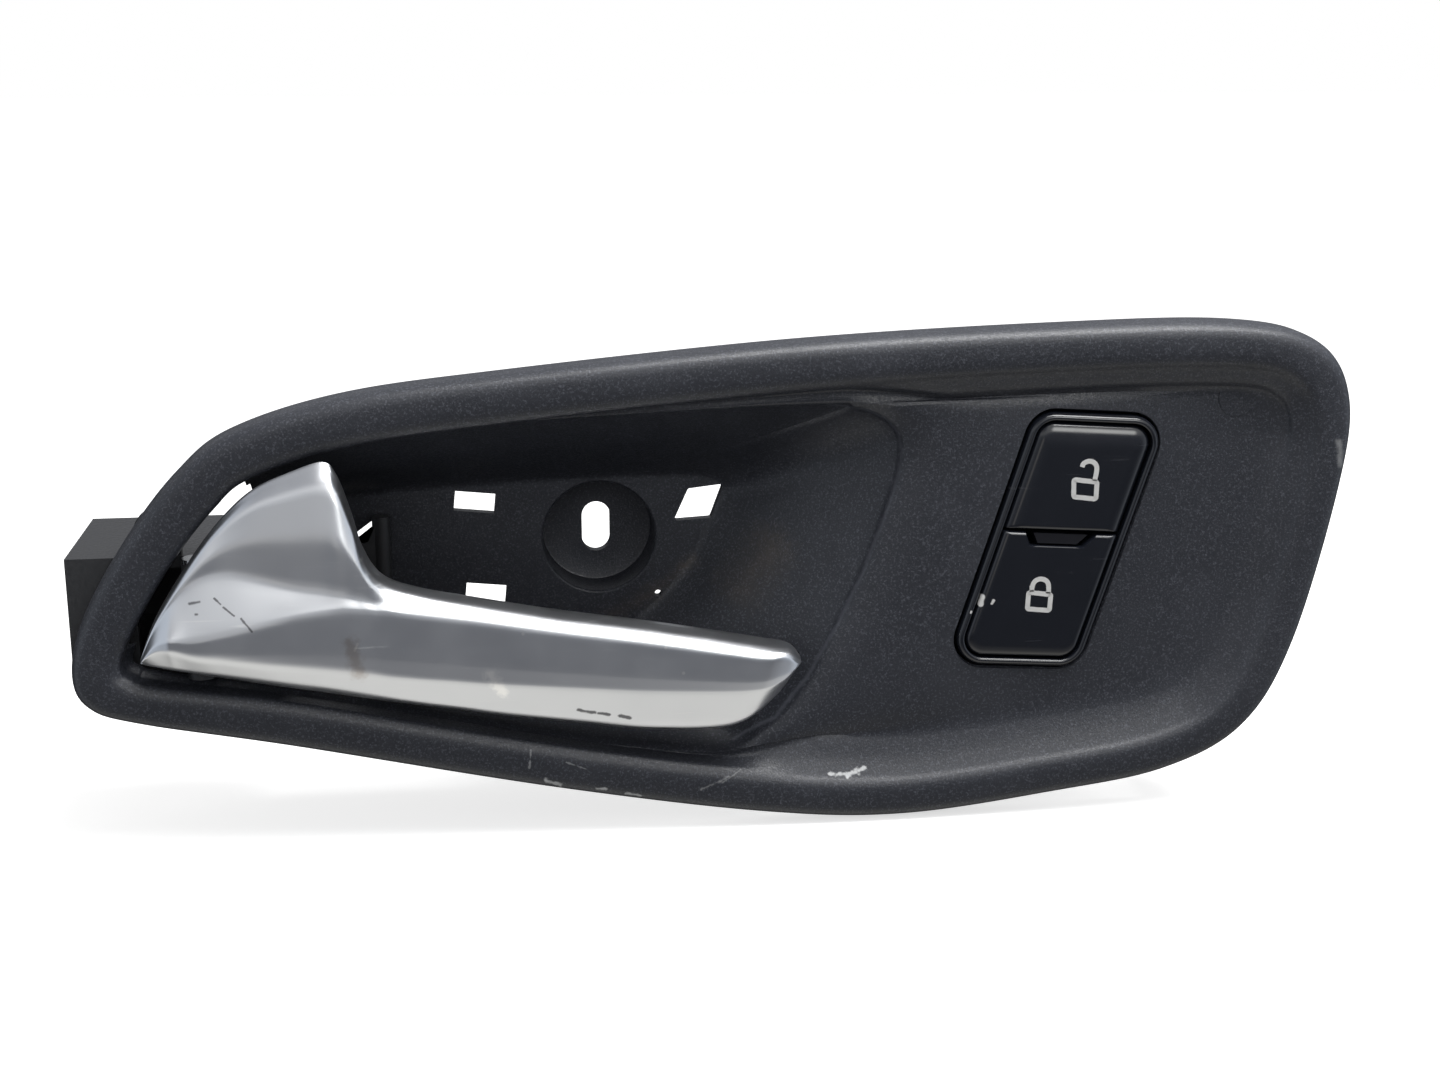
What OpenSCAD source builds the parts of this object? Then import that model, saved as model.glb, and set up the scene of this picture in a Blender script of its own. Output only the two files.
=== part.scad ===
// Car interior door handle: bezel with finger cup, pull lever and lock switch.
// The origin is the centre of the fixing slot, on the face that the screw head bears on.
// X runs to the right along the handle, Z runs up, and the front faces -Y.

/* [Bezel] */
// From the fixing slot to the left end of the bezel
left_reach = 99.5; // [94:0.5:106]
// From the fixing slot to the right end of the bezel
right_reach = 144; // [136:1:156]
// From the fixing slot up to the highest point of the rim
top_rise = 45; // [43:0.5:49]
// From the fixing slot down to the lowest point of the rim
belly_drop = 52; // [50:0.5:56]
// Width of the raised rim
rim_w = 9; // [8:0.25:10]
// From the rim's crest back to the face that seats on the door panel
rim_h = 7; // [6:0.25:8]
// From the rim's crest back to the floor of the finger cup
cup_depth = 29; // [26:0.5:33]
// From the rim's crest back to the dish round the switch
dish_depth = 4; // [3:0.25:4.5]
// Wall of the bezel moulding
bezel_wall = 2.3; // [1.8:0.1:2.6]

/* [Fixing] */
// Width of the fixing slot
slot_w = 5.8; // [4.4:0.1:6.6]
// Height of the fixing slot from end to end
slot_h = 10.4; // [8.4:0.1:12]
// Depth of the screw recess below the cup floor
recess_depth = 9; // [6:0.5:12]
// Radius of the screw recess
recess_r = 11.2; // [9.5:0.1:11.6]
// Thickness of the recess floor
recess_floor_t = 2.4; // [1.8:0.1:3.5]
// Radius of the two locating pegs
peg_r = 2.5; // [1.8:0.1:3.2]
// Length of the locating pegs behind the dish
peg_len = 13; // [9:0.5:18]

/* [Lever] */
// From the hinge axis to the free tip of the lever
lever_reach = 112; // [105:0.5:114]
// Height of the lever's upper lobe above the slot centre
lobe_rise = 23; // [20:0.5:23.5]
// Thickness of the metal shell of the lever
cover_t = 1.4; // [1:0.1:1.8]
// How far the lever's crest stands in front of its edge
crown_h = 6.4; // [5:0.2:8]
// Thickness of the black backing behind the shell
backing_t = 1.5; // [1.2:0.1:1.8]
// Thickness of the grip behind the arm
grip_t = 3.6; // [2.4:0.2:5]

/* [Hinge] */
// From the left end of the bezel to the hinge axis
hinge_inset = 23.5; // [23:0.25:25]
// From the rim's crest back to the hinge axis
hinge_depth = 5; // [4.75:0.25:5.5]
// Radius of the pivot pin
pin_r = 1.5; // [1.2:0.05:1.6]
// Radius of the hinge knuckles
knuckle_r = 3; // [2.8:0.05:3.1]
// Wire of the return spring
wire_d = 0.8; // [0.6:0.05:0.9]
// Length of the release arm behind the hinge axis
arm_len = 18; // [15:0.5:19]
// Swing of the lever
lever_swing = 24; // [18:1:26]

/* [Carrier] */
// Length of the pivot carrier box
carrier_len = 41; // [40:0.5:44]
// Depth of the pivot carrier box
carrier_depth = 32; // [28:0.5:36]
// Height of the pivot carrier box
carrier_h = 22; // [21:0.5:23]
// Wall of the pivot carrier box
carrier_wall = 2.2; // [1.6:0.1:2.6]

/* [Switch] */
// Width of the switch frame across its slanted sides
switch_w = 26.6; // [24:0.2:30]
// Height of the switch frame
switch_h = 50.6; // [46:0.2:54]
// Lean of the switch's sides from its own upright
switch_lean = 13.8; // [8:0.2:18]
// Turn of the whole switch
switch_turn = -4; // [-6:0.5:0]
// Width of the frame's ring
ring_w = 1.5; // [1.2:0.1:2.2]
// How far the frame stands in front of the dish
frame_proud = 1.4; // [1:0.1:2]
// Travel of each key
key_travel = 1.2; // [0.8:0.1:1.6]
// Depth of the switch housing behind the dish
housing_depth = 17; // [16:0.5:22]

/* [Clearances] */
// Gap round each key
key_gap = 0.35; // [0.3:0.05:0.5]
// Gap between the bezel and the switch frame
pocket_gap = 0.5; // [0.3:0.05:0.7]
// Running fit of the pin in its bores, on the radius
pin_fit = 0.03; // [0.02:0.01:0.06]
// Gap between parts that pass each other
pass_gap = 0.4; // [0.3:0.05:0.5]

/* [Hidden] */
$fn = 48;
hair = 0.01;

// Depths, from the slot's bearing face forwards
cup_y = -recess_depth;
crest_y = cup_y - cup_depth;
seat_y = crest_y + rim_h;
dish_y = crest_y + dish_depth;
dish_back_y = dish_y + bezel_wall;

// Curves through chosen points

function spline(a, b, c, d, t) = 0.5 * (2 * b + (c - a) * t
  + (2 * a - 5 * b + 4 * c - d) * t * t + (3 * b - a - 3 * c + d) * t * t * t);

// A closed curve through the points, with the given number of steps to a span
function closed_curve(p, steps) = let (n = len(p))
  [for (i = [0 : n - 1], j = [0 : steps - 1])
    spline(p[(i + n - 1) % n], p[i], p[(i + 1) % n], p[(i + 2) % n], j / steps)];

// A point at the share t of an open curve through the points
function along(p, t) = let (n = len(p) - 1, s = min(t * n, n - hair), i = floor(s))
  spline(p[max(i - 1, 0)], p[i], p[i + 1], p[min(i + 2, n)], s - i);

// A closed loop moved inwards by its own distance at each point, for a clockwise loop
function inset_by(loop, d) = let (n = len(loop))
  [for (i = [0 : n - 1]) let (v = loop[(i + 1) % n] - loop[(i + n - 1) % n], u = v / norm(v))
    loop[i] + d[i] * [u.y, -u.x]];

function inset(loop, d) = inset_by(loop, [for (p = loop) d]);

function mix(a, b, t) = a + (b - a) * t;

function ring_at(loop, y) = [for (p = loop) [p.x, y, p.y]];

// A corner of a polygon rounded by an arc of radius r
function round_corner(a, b, c, r, steps = 6) = let (
  u = (a - b) / norm(a - b), v = (c - b) / norm(c - b),
  half = acos(u * v) / 2,
  mid = (u + v) / norm(u + v),
  centre = b + mid * r / sin(half),
  from = b + u * r / tan(half) - centre,
  turn = 180 - 2 * half,
  side = u.x * v.y - u.y * v.x > 0 ? -1 : 1)
  [for (i = [0 : steps]) let (w = side * turn * i / steps)
    centre + [from.x * cos(w) - from.y * sin(w), from.x * sin(w) + from.y * cos(w)]];

function rounded(corners, radii, steps = 6) = let (n = len(corners))
  [for (i = [0 : n - 1])
    each round_corner(corners[(i + n - 1) % n], corners[i], corners[(i + 1) % n], radii[i], steps)];

// A closed solid through a row of loops, each end closed by a fan from its middle.
// Seen from the last loop, each loop runs clockwise. The flag turns the four-sided faces' diagonals.
module loft(loops, turned = false) {
  n = len(loops[0]);
  m = len(loops);
  ends = [for (l = [loops[0], loops[m - 1]]) [for (k = [0 : 2]) [for (p = l) p[k]] * [for (p = l) 1] / n]];
  points = concat([for (l = loops) each l], ends);
  faces = concat(
    [for (k = [0 : m - 2], i = [0 : n - 1]) let (j = (i + 1) % n)
      each turned
        ? [[k * n + i, k * n + j, (k + 1) * n + i], [k * n + j, (k + 1) * n + j, (k + 1) * n + i]]
        : [[k * n + i, k * n + j, (k + 1) * n + j], [k * n + i, (k + 1) * n + j, (k + 1) * n + i]]],
    [for (i = [0 : n - 1]) [m * n, (i + 1) % n, i]],
    [for (i = [0 : n - 1]) [m * n + 1, (m - 1) * n + i, (m - 1) * n + (i + 1) % n]]);
  polyhedron(points, faces, convexity = 8);
}

// The same through clockwise loops that are given from the front backwards
module stack(loops) {
  loft([for (k = [len(loops) - 1 : -1 : 0]) loops[k]]);
}

// A prism with its outline in X and Z, from y = a back to y = b
module prism(outline, a, b) {
  translate([0, b, 0])
    rotate([90, 0, 0])
      linear_extrude(b - a)
        polygon(outline);
}

// A cylinder along Y, from y = a back to y = b
module rod(x, z, r, a, b) {
  translate([x, b, z])
    rotate([90, 0, 0])
      cylinder(r = r, h = b - a);
}

// Outlines of the bezel, as shares of its four reaches, clockwise from the left nose

function reach(p) = [p.x * (p.x < 0 ? left_reach : right_reach), p.y * (p.y < 0 ? belly_drop : top_rise)];

rim_shape = [[-1, -.31], [-.97, -.1], [-.885, .2], [-.79, .46], [-.69, .63], [-.49, .765], [-.2, .845],
  [.24, .95], [.59, .998], [.83, 1], [.95, .91], [1, .67], [.995, .27], [.945, -.37], [.88, -.7],
  [.77, -.865], [.61, -.94], [.4, -1], [.21, -.965], [-.1, -.83], [-.6, -.62], [-.88, -.51], [-.975, -.44]];
rim_steps = 4;

// The other outlines are drawn for these reaches and stretched to the chosen ones
drawn_left = 99.5;
drawn_right = 144;
drawn_top = 45;
drawn_belly = 52;
function placed(p) = [p.x * (p.x < 0 ? left_reach / drawn_left : right_reach / drawn_right),
  p.y * (p.y < 0 ? belly_drop / drawn_belly : top_rise / drawn_top)];

rim_points = [for (p = rim_shape) reach(p)];
rim_line = closed_curve(rim_points, rim_steps);

// Ways in from the rim's points, square to the outline but turned to the middle at its tight corners
inward = inset([for (p = rim_points) p], 1) - rim_points;
corner_ways = [[0, [1, .12]], [10, [-.62, -.86]], [11, [-.95, -.5]], [21, [.46, .82]], [22, [.93, .6]]];
rim_ways = [for (i = [0 : len(rim_points) - 1]) let (k = [for (c = corner_ways) if (c[0] == i) c[1]])
  len(k) > 0 ? k[0] : inward[i]];
rim_way_line = closed_curve(rim_ways, rim_steps);

function in_from_rim(d) = rim_line + d * rim_way_line;

// Right edge of the finger cup, where it leaves the rim and crosses the dish
cup_first = 7;
cup_edge_right = [[38, 30.7], [47.5, 29.7], [52.8, 27.6], [55.6, 24.4], [56.2, 20.5], [55.4, 15.5], [53.6, 10],
  [50, -.5], [44.5, -12.5], [37.5, -24.8], [30, -33.3], [20.5, -37.3]];
cup_lip = 0.6;
cup_line = closed_curve([for (i = [0 : len(rim_shape) - 1]) let (k = i - cup_first)
  k >= 0 && k < len(cup_edge_right) ? placed(cup_edge_right[k]) : rim_points[i] + (rim_w + cup_lip) * rim_ways[i]],
  rim_steps);

// Crease of the cup floor
floor_shape = [[-84, -12], [-81, -6], [-75, 1], [-66, 7], [-56, 10], [-42, 11.6], [-22, 12.6], [0, 13.2],
  [14, 13.2], [21.5, 12.6], [25.2, 10.8], [25.7, 8], [23.4, 3], [20, -4.5], [16, -10.5], [10.5, -16],
  [4, -21], [-4, -24.5], [-13, -26.2], [-25, -26], [-57, -22.8], [-79, -18.6], [-83, -16]];
floor_line = closed_curve([for (p = floor_shape) placed(p)], rim_steps);

// How far the dish has opened between the rim and the cup, from 0 to 1, at each point of a loop
dish_fillet = 8;
crease_line = in_from_rim(rim_w);
function openings(from, to) = [for (p = from) let (gap = min([for (q = to) norm(p - q)]))
  min(1, max(0, 0.6 * (gap - cup_lip) / dish_fillet))];
rim_open = openings(crease_line, cup_line);
cup_open = openings(cup_line, crease_line);

function fade(a, b, open = rim_open) = [for (g = open) mix(a, b, g)];
function in_by(ds) = [for (i = [0 : len(rim_line) - 1]) rim_line[i] + ds[i] * rim_way_line[i]];
function ring_by(loop, ys) = [for (i = [0 : len(loop) - 1]) [loop[i].x, ys[i], loop[i].y]];
// The cup's edge moved from its closed place and depth to its open ones
function cup_ring(in_shut, in_open, y_shut, y_open) =
  ring_by(inset_by(cup_line, fade(in_shut, in_open, cup_open)), fade(y_shut, y_open, cup_open));
function wall_loop(t, out) = inset(mix(inset(cup_line, 0.9), floor_line, t), -out);

// Rings of the moulding, from the front of the cup floor out over the rim and back inside
cup_front_y = dish_y + 2.5;
bezel_rings = [
  ring_at(floor_line, cup_y),
  ring_at(wall_loop(0.5, 0), mix(cup_front_y, cup_y, 0.47)),
  ring_at(inset(cup_line, 0.9), cup_front_y),
  cup_ring(0, -1, dish_y + 0.7, dish_y),
  ring_by(in_by(fade(rim_w + 0.5, rim_w + 7)), fade(dish_y + 0.4, dish_y)),
  ring_by(in_by(fade(rim_w + 0.25, rim_w + 2.6)), fade(dish_y - 1.5, dish_y - 1.3)),
  ring_at(crease_line, crest_y + 1.4),
  ring_at(in_from_rim(rim_w - 1.5), crest_y + 0.3),
  ring_at(in_from_rim(4.2), crest_y),
  ring_at(in_from_rim(1.6), crest_y + 0.5),
  ring_at(in_from_rim(0.3), crest_y + 2.4),
  ring_at(rim_line, seat_y),
  ring_at(in_from_rim(bezel_wall), seat_y),
  ring_at(in_from_rim(bezel_wall + 0.4), crest_y + bezel_wall + 0.4),
  ring_by(in_by(fade(rim_w - 2.6, rim_w - 1.4)), fade(crest_y + bezel_wall, crest_y + bezel_wall + 0.8)),
  ring_by(in_by(fade(rim_w - 2.1, rim_w + 4)), fade(crest_y + bezel_wall + 0.3, dish_back_y)),
  cup_ring(-2.1, -2.8, dish_y + 0.4, dish_back_y),
  cup_ring(-1.9, -2.6, cup_front_y, cup_front_y - 0.8 + bezel_wall / 2),
  ring_at(wall_loop(0.5, bezel_wall), mix(cup_front_y, cup_y, 0.47) + bezel_wall / 2),
  ring_at(inset(floor_line, -bezel_wall), cup_y + bezel_wall)];

// Switch outlines

switch_at = placed([87, 2.7]);

function switch_point(p) = let (q = [p.x + p.y * tan(switch_lean), p.y])
  switch_at + [q.x * cos(switch_turn) - q.y * sin(switch_turn), q.x * sin(switch_turn) + q.y * cos(switch_turn)];

// The slanted rounded outline, moved out by d
function switch_loop(d, r = 5.5, steps = 6) = let (w = switch_w / 2 + d, h = switch_h / 2 + d)
  rounded([for (c = [[-w, h], [w, h], [w, -h], [-w, -h]]) switch_point(c)],
    [for (k = [0 : 3]) max(r + d, 0.4)], steps);

frame_y = dish_y - frame_proud;
key_front_y = frame_y - 0.1;
key_len = 7.5;
key_back_y = key_front_y + key_len;
split_v = 2;
window_w = 10.8;
window_h = 2;

// Outline of one key in the switch's own frame, from v = low to v = high
function key_loop(low, high, d, notch) = let (w = switch_w / 2 - ring_w - key_gap - d)
  notch == 0
    ? rounded([for (c = [[-w, high - d], [w, high - d], [w, low + d], [-w, low + d]]) switch_point(c)],
        [max(3.6 - d, 0.3), max(3.6 - d, 0.3), 0.4, 0.4], 5)
    : rounded([for (c = [[-w, high - d], [-notch / 2 - 1.6 - d, high - d], [-notch / 2 + 0.2 - d, high - 2.6 - d],
        [notch / 2 - 0.2 + d, high - 2.6 - d], [notch / 2 + 1.6 + d, high - d], [w, high - d],
        [w, low + d], [-w, low + d]]) switch_point(c)],
        [0.4, 0.6, 0.6, 0.6, 0.6, 0.4, max(3.6 - d, 0.3), max(3.6 - d, 0.3)], 3);

key_end = switch_h / 2 - ring_w - key_gap;
unlock_low = split_v + key_gap / 2;
lock_high = split_v - key_gap / 2;
dome_h = 3.2;
board_y = key_back_y + dome_h + key_travel;
board_t = 1.6;

// Lever sizes

hinge_x = -left_reach + hinge_inset;
hinge_y = crest_y + hinge_depth;
edge_y = crest_y + 0.4;

// The lever's edges are drawn for this hinge and reach, and stretched from the hinge to the chosen ones
drawn_hinge = -76;
drawn_lever = 112;
top_edge = lever_line([[-86.2, -12.4], [-83.2, -4.6], [-77.4, 5.3], [-72, 13.3], [-65.5, 19.2], [-58, lobe_rise - 1.2],
  [-52, lobe_rise], [-49.6, lobe_rise - 2.2], [-47.4, 14.5], [-45.4, 7], [-42, 1.6], [-35.5, -1.1], [-26, -3.2],
  [-10, -6.4], [8, -9.4], [27, -13.1], [33.6, -14.6], [36, -17.2]]);
bottom_edge = lever_line([[-86, -13.8], [-82.5, -14.9], [-77, -16], [-71, -17.2], [-65, -18.4], [-59, -19.6],
  [-54, -20.5], [-49, -21.5], [-44.5, -22.4], [-40, -23.3], [-34.5, -24.3], [-28, -25.4], [-20, -26.9],
  [-6, -29], [8, -31], [23, -30.9], [31, -25.4], [36, -18.2]]);
function lever_x(x) = hinge_x + (x - drawn_hinge) * lever_reach / drawn_lever;
function lever_line(points) = [for (p = points) [lever_x(p.x), p.y]];
stations = 36;
across = 13;
fan_profile = [[0, 0], [.03, .34], [.12, .8], [.24, 1], [.4, .8], [.55, .56], [.75, .58], [.93, .42], [1, 0]];
arm_profile = [[0, 0], [.05, .3], [.27, .92], [.45, 1], [.65, .99], [.82, .9], [.92, .68], [.98, .3], [1, 0]];

// Share of the fan's form at station t: 1 in the lobe, 0 along the arm
function fan_share(t) = let (s = min(1, max(0, (0.66 - t) / 0.14))) s * s * (3 - 2 * s);

// How full the section stands at station t, falling to both ends
function fullness(t) = min(1, 0.4 + t * 7, 0.35 + sqrt(max(0, 1 - t)) * 2.1);

// The section at station t as points across and forward, moved in by d
function section(t, d) = let (
  a = along(bottom_edge, t), b = along(top_edge, t),
  w = norm(b - a),
  q = [for (i = [0 : len(fan_profile) - 1]) mix(arm_profile[i], fan_profile[i], fan_share(t))],
  s = [for (i = [0 : across]) let (p = along(q, i / across)) [p.x * w, p.y * crown_h * fullness(t)]],
  lead = min(d, w / 3))
  [for (i = [0 : across]) let (
      v = s[min(i + 1, across)] - s[max(i - 1, 0)], u = v / norm(v),
      p = s[i] + lead * [u.y, -u.x])
    i == 0 ? [lead, 0] : i == across ? [w - lead, 0]
      : [min(max(p.x, lead), w - lead), max(p.y, hair * i)]];

function in_place(t, p) = let (
  a = along(bottom_edge, t), b = along(top_edge, t), u = (b - a) / norm(b - a), q = a + u * p.x)
  [q.x, edge_y - p.y, q.y];

function rear_t(t) = mix(grip_t, backing_t, fan_share(t)) * min(1, 0.3 + 5 * (1 - t));

function cover_ring(t) = concat(
  [for (p = section(t, 0)) in_place(t, p)],
  [for (i = [across : -1 : 0]) in_place(t, section(t, cover_t)[i])]);

function core_ring(t) = let (
  w = norm(along(top_edge, t) - along(bottom_edge, t)), e = min(0.5, w / 6), r = rear_t(t))
  concat([for (p = section(t, cover_t)) in_place(t, p)],
    [for (p = [[w - e, 0], [w - e - r * 0.12, -r * 0.6], [w - e - min(w / 4, r * 0.5), -r],
      [e + min(w / 4, r * 0.5), -r], [e + r * 0.12, -r * 0.6], [e, 0]]) in_place(t, p)]);

// Carrier sizes

arm_w = 5;
eye_r = 3.6;
stop_t = 3.4;
stop_w = 8;
stop_x = hinge_x + arm_len * sin(lever_swing) + eye_r + hair;
box_right = stop_x + stop_t + carrier_wall;
box_x = box_right - carrier_len;
box_front_y = seat_y + 3;
box_top = 3.8;
box_bottom = box_top - carrier_h + hair;
box_back_y = box_front_y + carrier_depth;
mouth_x = hinge_x - 12;
lug_t = carrier_wall;
lug_r = hinge_y - edge_y - backing_t - pass_gap;
knuckle_top = box_top - lug_t - pass_gap;
knuckle_bottom = box_bottom + lug_t + pass_gap;
knuckle_len = 4.6;
flange_t = 0.5;
bush_wall = 0.6;
spring_low = knuckle_bottom + knuckle_len + pass_gap;
spring_high = knuckle_top - knuckle_len - pass_gap;
spring_turns = 5.25;
spring_mean_r = hinge_y - edge_y - backing_t - wire_d / 2 - hair;
leg_reach = 5;
cable_z = knuckle_bottom + knuckle_len / 2;
boss_r = 3.2;
boss_bore_r = 1.4;
boss_spots = [for (p = [[-83.4, 8.6], [-85.5, -22.4], [-64, -27.6]]) placed(p)];
ear_t = 2;
channel_y = crest_y + bezel_wall;
tower_spots = [for (p = [[-30, 31.5, 0, channel_y], [126, 4, 75, dish_back_y], [66, -46, 0, channel_y],
  [62, 39, 0, channel_y]]) [placed(p).x, placed(p).y, p.z, p[3]]];
tower_w = 8;
tower_t = 2.4;
tower_len = 13;
collar_t = 1.6;
collar_len = 6;
peg_spots = [for (p = [[122, 30], [112, -32]]) placed(p)];
peg_pad = 0.4;

// Pieces

module bezel() {
  color([0.09, 0.09, 0.1])
  difference() {
    union() {
      difference() {
        stack(bezel_rings);
        left_window();
      }
      rod(0, 0, recess_r + bezel_wall, cup_y + 0.6, recess_floor_t);
      bezel_bosses();
      bezel_pegs();
      switch_collar();
    }
    rod(0, 0, recess_r, crest_y, 0);
    slot_cut();
    cup_holes();
    prism(switch_loop(pocket_gap), crest_y - 1, dish_back_y + collar_len + 1);
    for (p = boss_spots)
      rod(p.x, p.y, boss_bore_r + pin_fit, crest_y + bezel_wall + 1, 10);
  }
}

module slot_cut() {
  half = (slot_h - slot_w) / 2;
  for (s = [-1, 1])
    rod(0, s * half, slot_w / 2, -1, recess_floor_t + 1);
  translate([-slot_w / 2, -1, -half])
    cube([slot_w, recess_floor_t + 2, 2 * half]);
}

// Behind the rim the moulding is open on the left for the carrier, and the opening ends in a slanted corner
window_x = placed([-43.4, 0]).x;
window_tip = 5.8;
window_top = 2.6;
module left_window() {
  low = box_bottom - pass_gap;
  side = box_right + pass_gap;
  prism([[-left_reach - 20, -belly_drop], [side, -belly_drop], [side, low], [window_x, low],
    [window_x, window_tip], [window_x - 4.4, window_top], [side, window_top], [side, top_rise],
    [-left_reach - 20, top_rise]], seat_y, 10);
}

hole_w = 8;
hole_h = 4;
slanted_hole = [[18, 9.4], [25.2, 10.2], [22.6, 3.2], [15, 2.8]];
module cup_holes() {
  through = 8;
  for (p = [[-24.6, 7.9], [-22.9, -11]])
    translate([placed(p).x, cup_y - through, placed(p).y])
      rotate([0, -6, 0])
        translate([-hole_w / 2, 0, -hole_h / 2])
          cube([hole_w, 2 * through, hole_h]);
  prism([for (p = slanted_hole) placed(p)], cup_y - through, cup_y + through);
  pin_hole = placed([11.8, -12.2]);
  rod(pin_hole.x, pin_hole.y, 0.7, cup_y - 2, cup_y + through);
}

module bezel_bosses() {
  for (p = boss_spots)
    rod(p.x, p.y, boss_r, crest_y + bezel_wall - 0.3, box_front_y - 0.02);
}

// Locating pegs, each on a round pad, and the flat towers that carry the spring clips
module bezel_pegs() {
  for (p = peg_spots) {
    rod(p.x, p.y, peg_r + 1.2, dish_y + 0.4, dish_back_y + peg_pad);
    rod(p.x, p.y, peg_r, dish_y + 1, dish_back_y + peg_len);
  }
  for (p = tower_spots)
    translate([p.x, p[3] - 0.8, p.y])
      rotate([0, -p.z, 0])
        translate([-tower_w / 2, 0, -tower_t / 2])
          cube([tower_w, dish_back_y + tower_len - p[3] + 0.8, tower_t]);
}

module switch_collar() {
  prism(switch_loop(pocket_gap + collar_t), dish_y + 1, dish_back_y + collar_len);
}

module pivot_carrier() {
  color([0.13, 0.13, 0.14])
  difference() {
    union() {
      carrier_box();
      for (z = [box_bottom, box_top - lug_t])
        pin_lug(z);
      carrier_ear(boss_spots[0]);
      carrier_flange(boss_spots[1], boss_spots[2]);
      bumper_post();
      spring_rib();
      carrier_tongue();
    }
    translate([hinge_x, hinge_y, box_bottom - 1])
      cylinder(r = pin_r + pin_fit, h = carrier_h + 2);
    for (p = boss_spots)
      rod(p.x, p.y, boss_bore_r + 0.3, box_front_y - 1, box_front_y + ear_t + 1);
  }
}

// The box is closed at its left front, open before the lever's root, and has a way in for the cable
module carrier_box() {
  difference() {
    translate([box_x, box_front_y, box_bottom])
      cube([carrier_len, carrier_depth, carrier_h]);
    for (c = [[box_x + carrier_wall, carrier_wall], [mouth_x, -1]])
      translate([c.x, box_front_y + c.y, box_bottom + carrier_wall])
        cube([box_right - carrier_wall - c.x, carrier_depth - carrier_wall - c.y, carrier_h - 2 * carrier_wall]);
    cable_slot();
    translate([mouth_x, box_back_y - carrier_wall - 1, box_bottom + 6])
      cube([box_right - 8 - mouth_x, carrier_wall + 2, carrier_h - 12]);
  }
}

module pin_lug(z) {
  translate([hinge_x, hinge_y, z])
    cylinder(r = lug_r, h = lug_t);
  translate([hinge_x - lug_r, hinge_y, z])
    cube([2 * lug_r, box_front_y - hinge_y + 1, lug_t]);
}

// A round ear above the box
module carrier_ear(p) {
  rod(p.x, p.y, boss_r + 1, box_front_y, box_front_y + ear_t);
  translate([p.x - boss_r - 1, box_front_y, box_top - 1])
    cube([2 * boss_r + 2, ear_t, p.y - box_top + 1]);
}

// A flange below the box, round two screws
module carrier_flange(p, q) {
  prism([[p.x - boss_r, box_bottom + 1], [p.x - boss_r, p.y - boss_r + 1], [p.x, p.y - boss_r],
    [q.x, q.y - boss_r], [q.x + boss_r, q.y - boss_r + 1], [q.x + boss_r, box_bottom + 1]],
    box_front_y, box_front_y + ear_t);
}

// A rib under the box's roof that takes the spring's fixed leg
module spring_rib() {
  x = hinge_x + spring_mean_r + wire_d / 2 + hair;
  low = spring_high - 3 * wire_d;
  translate([x, box_front_y, low])
    cube([carrier_wall, leg_reach, box_top - lug_t / 2 - low]);
}

// A tongue that reaches over the edge of the cup floor and ends in a round post
tongue_t = 2.6;
tongue_low = -6.2;
post_r = 1.8;
post_top = 6.2;
module carrier_tongue() {
  y = cup_y - pass_gap - post_r;
  x = box_right - 1;
  translate([x, y - tongue_t / 2, tongue_low])
    cube([window_x + 0.4 - x, tongue_t, -tongue_low]);
  translate([window_x + 0.4, y, tongue_low])
    cylinder(r = post_r, h = post_top - tongue_low);
}

slot_reach = 14;
cable_w = 5;
module cable_slot() {
  translate([box_x - 1, box_back_y - slot_reach, cable_z - cable_w / 2])
    cube([carrier_wall + 2, slot_reach + 1, cable_w]);
}

bumper_x = box_right - 5.5;
bumper_z = -6;
bumper_r = 2.4;
bumper_len = 3;
module bumper_post() {
  rod(bumper_x, bumper_z, bumper_r, edge_y + backing_t + bumper_len, box_front_y + 1);
  translate([bumper_x - bumper_r, box_front_y, bumper_z - bumper_r])
    cube([box_right - bumper_x + bumper_r, 2, 2 * bumper_r]);
}

module carrier_screws() {
  color([0.55, 0.56, 0.58])
  for (p = boss_spots) {
    rod(p.x, p.y, boss_bore_r, crest_y + bezel_wall + 2, box_front_y + ear_t + 0.1);
    difference() {
      rod(p.x, p.y, 3, box_front_y + ear_t, box_front_y + ear_t + 2.2);
      rod(p.x, p.y, 1.2, box_front_y + ear_t + 1, box_front_y + ear_t + 3);
    }
  }
}

module pivot_pin() {
  color([0.7, 0.71, 0.72])
  translate([hinge_x, hinge_y, box_bottom - 0.3]) {
    cylinder(r = pin_r, h = carrier_h + 0.3);
    translate([0, 0, carrier_h + 0.3])
      cylinder(r = pin_r + 1, h = 0.9);
  }
}

module bush(low, up) {
  translate([hinge_x, hinge_y, low])
  difference() {
    union() {
      cylinder(r = pin_r + pin_fit + bush_wall, h = knuckle_len);
      translate([0, 0, up ? knuckle_len - flange_t : 0])
        cylinder(r = knuckle_r - 0.2, h = flange_t);
    }
    translate([0, 0, -1])
      cylinder(r = pin_r + pin_fit, h = knuckle_len + 2);
  }
}

module pivot_bushes() {
  color([0.85, 0.84, 0.8]) {
    bush(knuckle_bottom, false);
    bush(knuckle_top - knuckle_len, true);
  }
}

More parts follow.
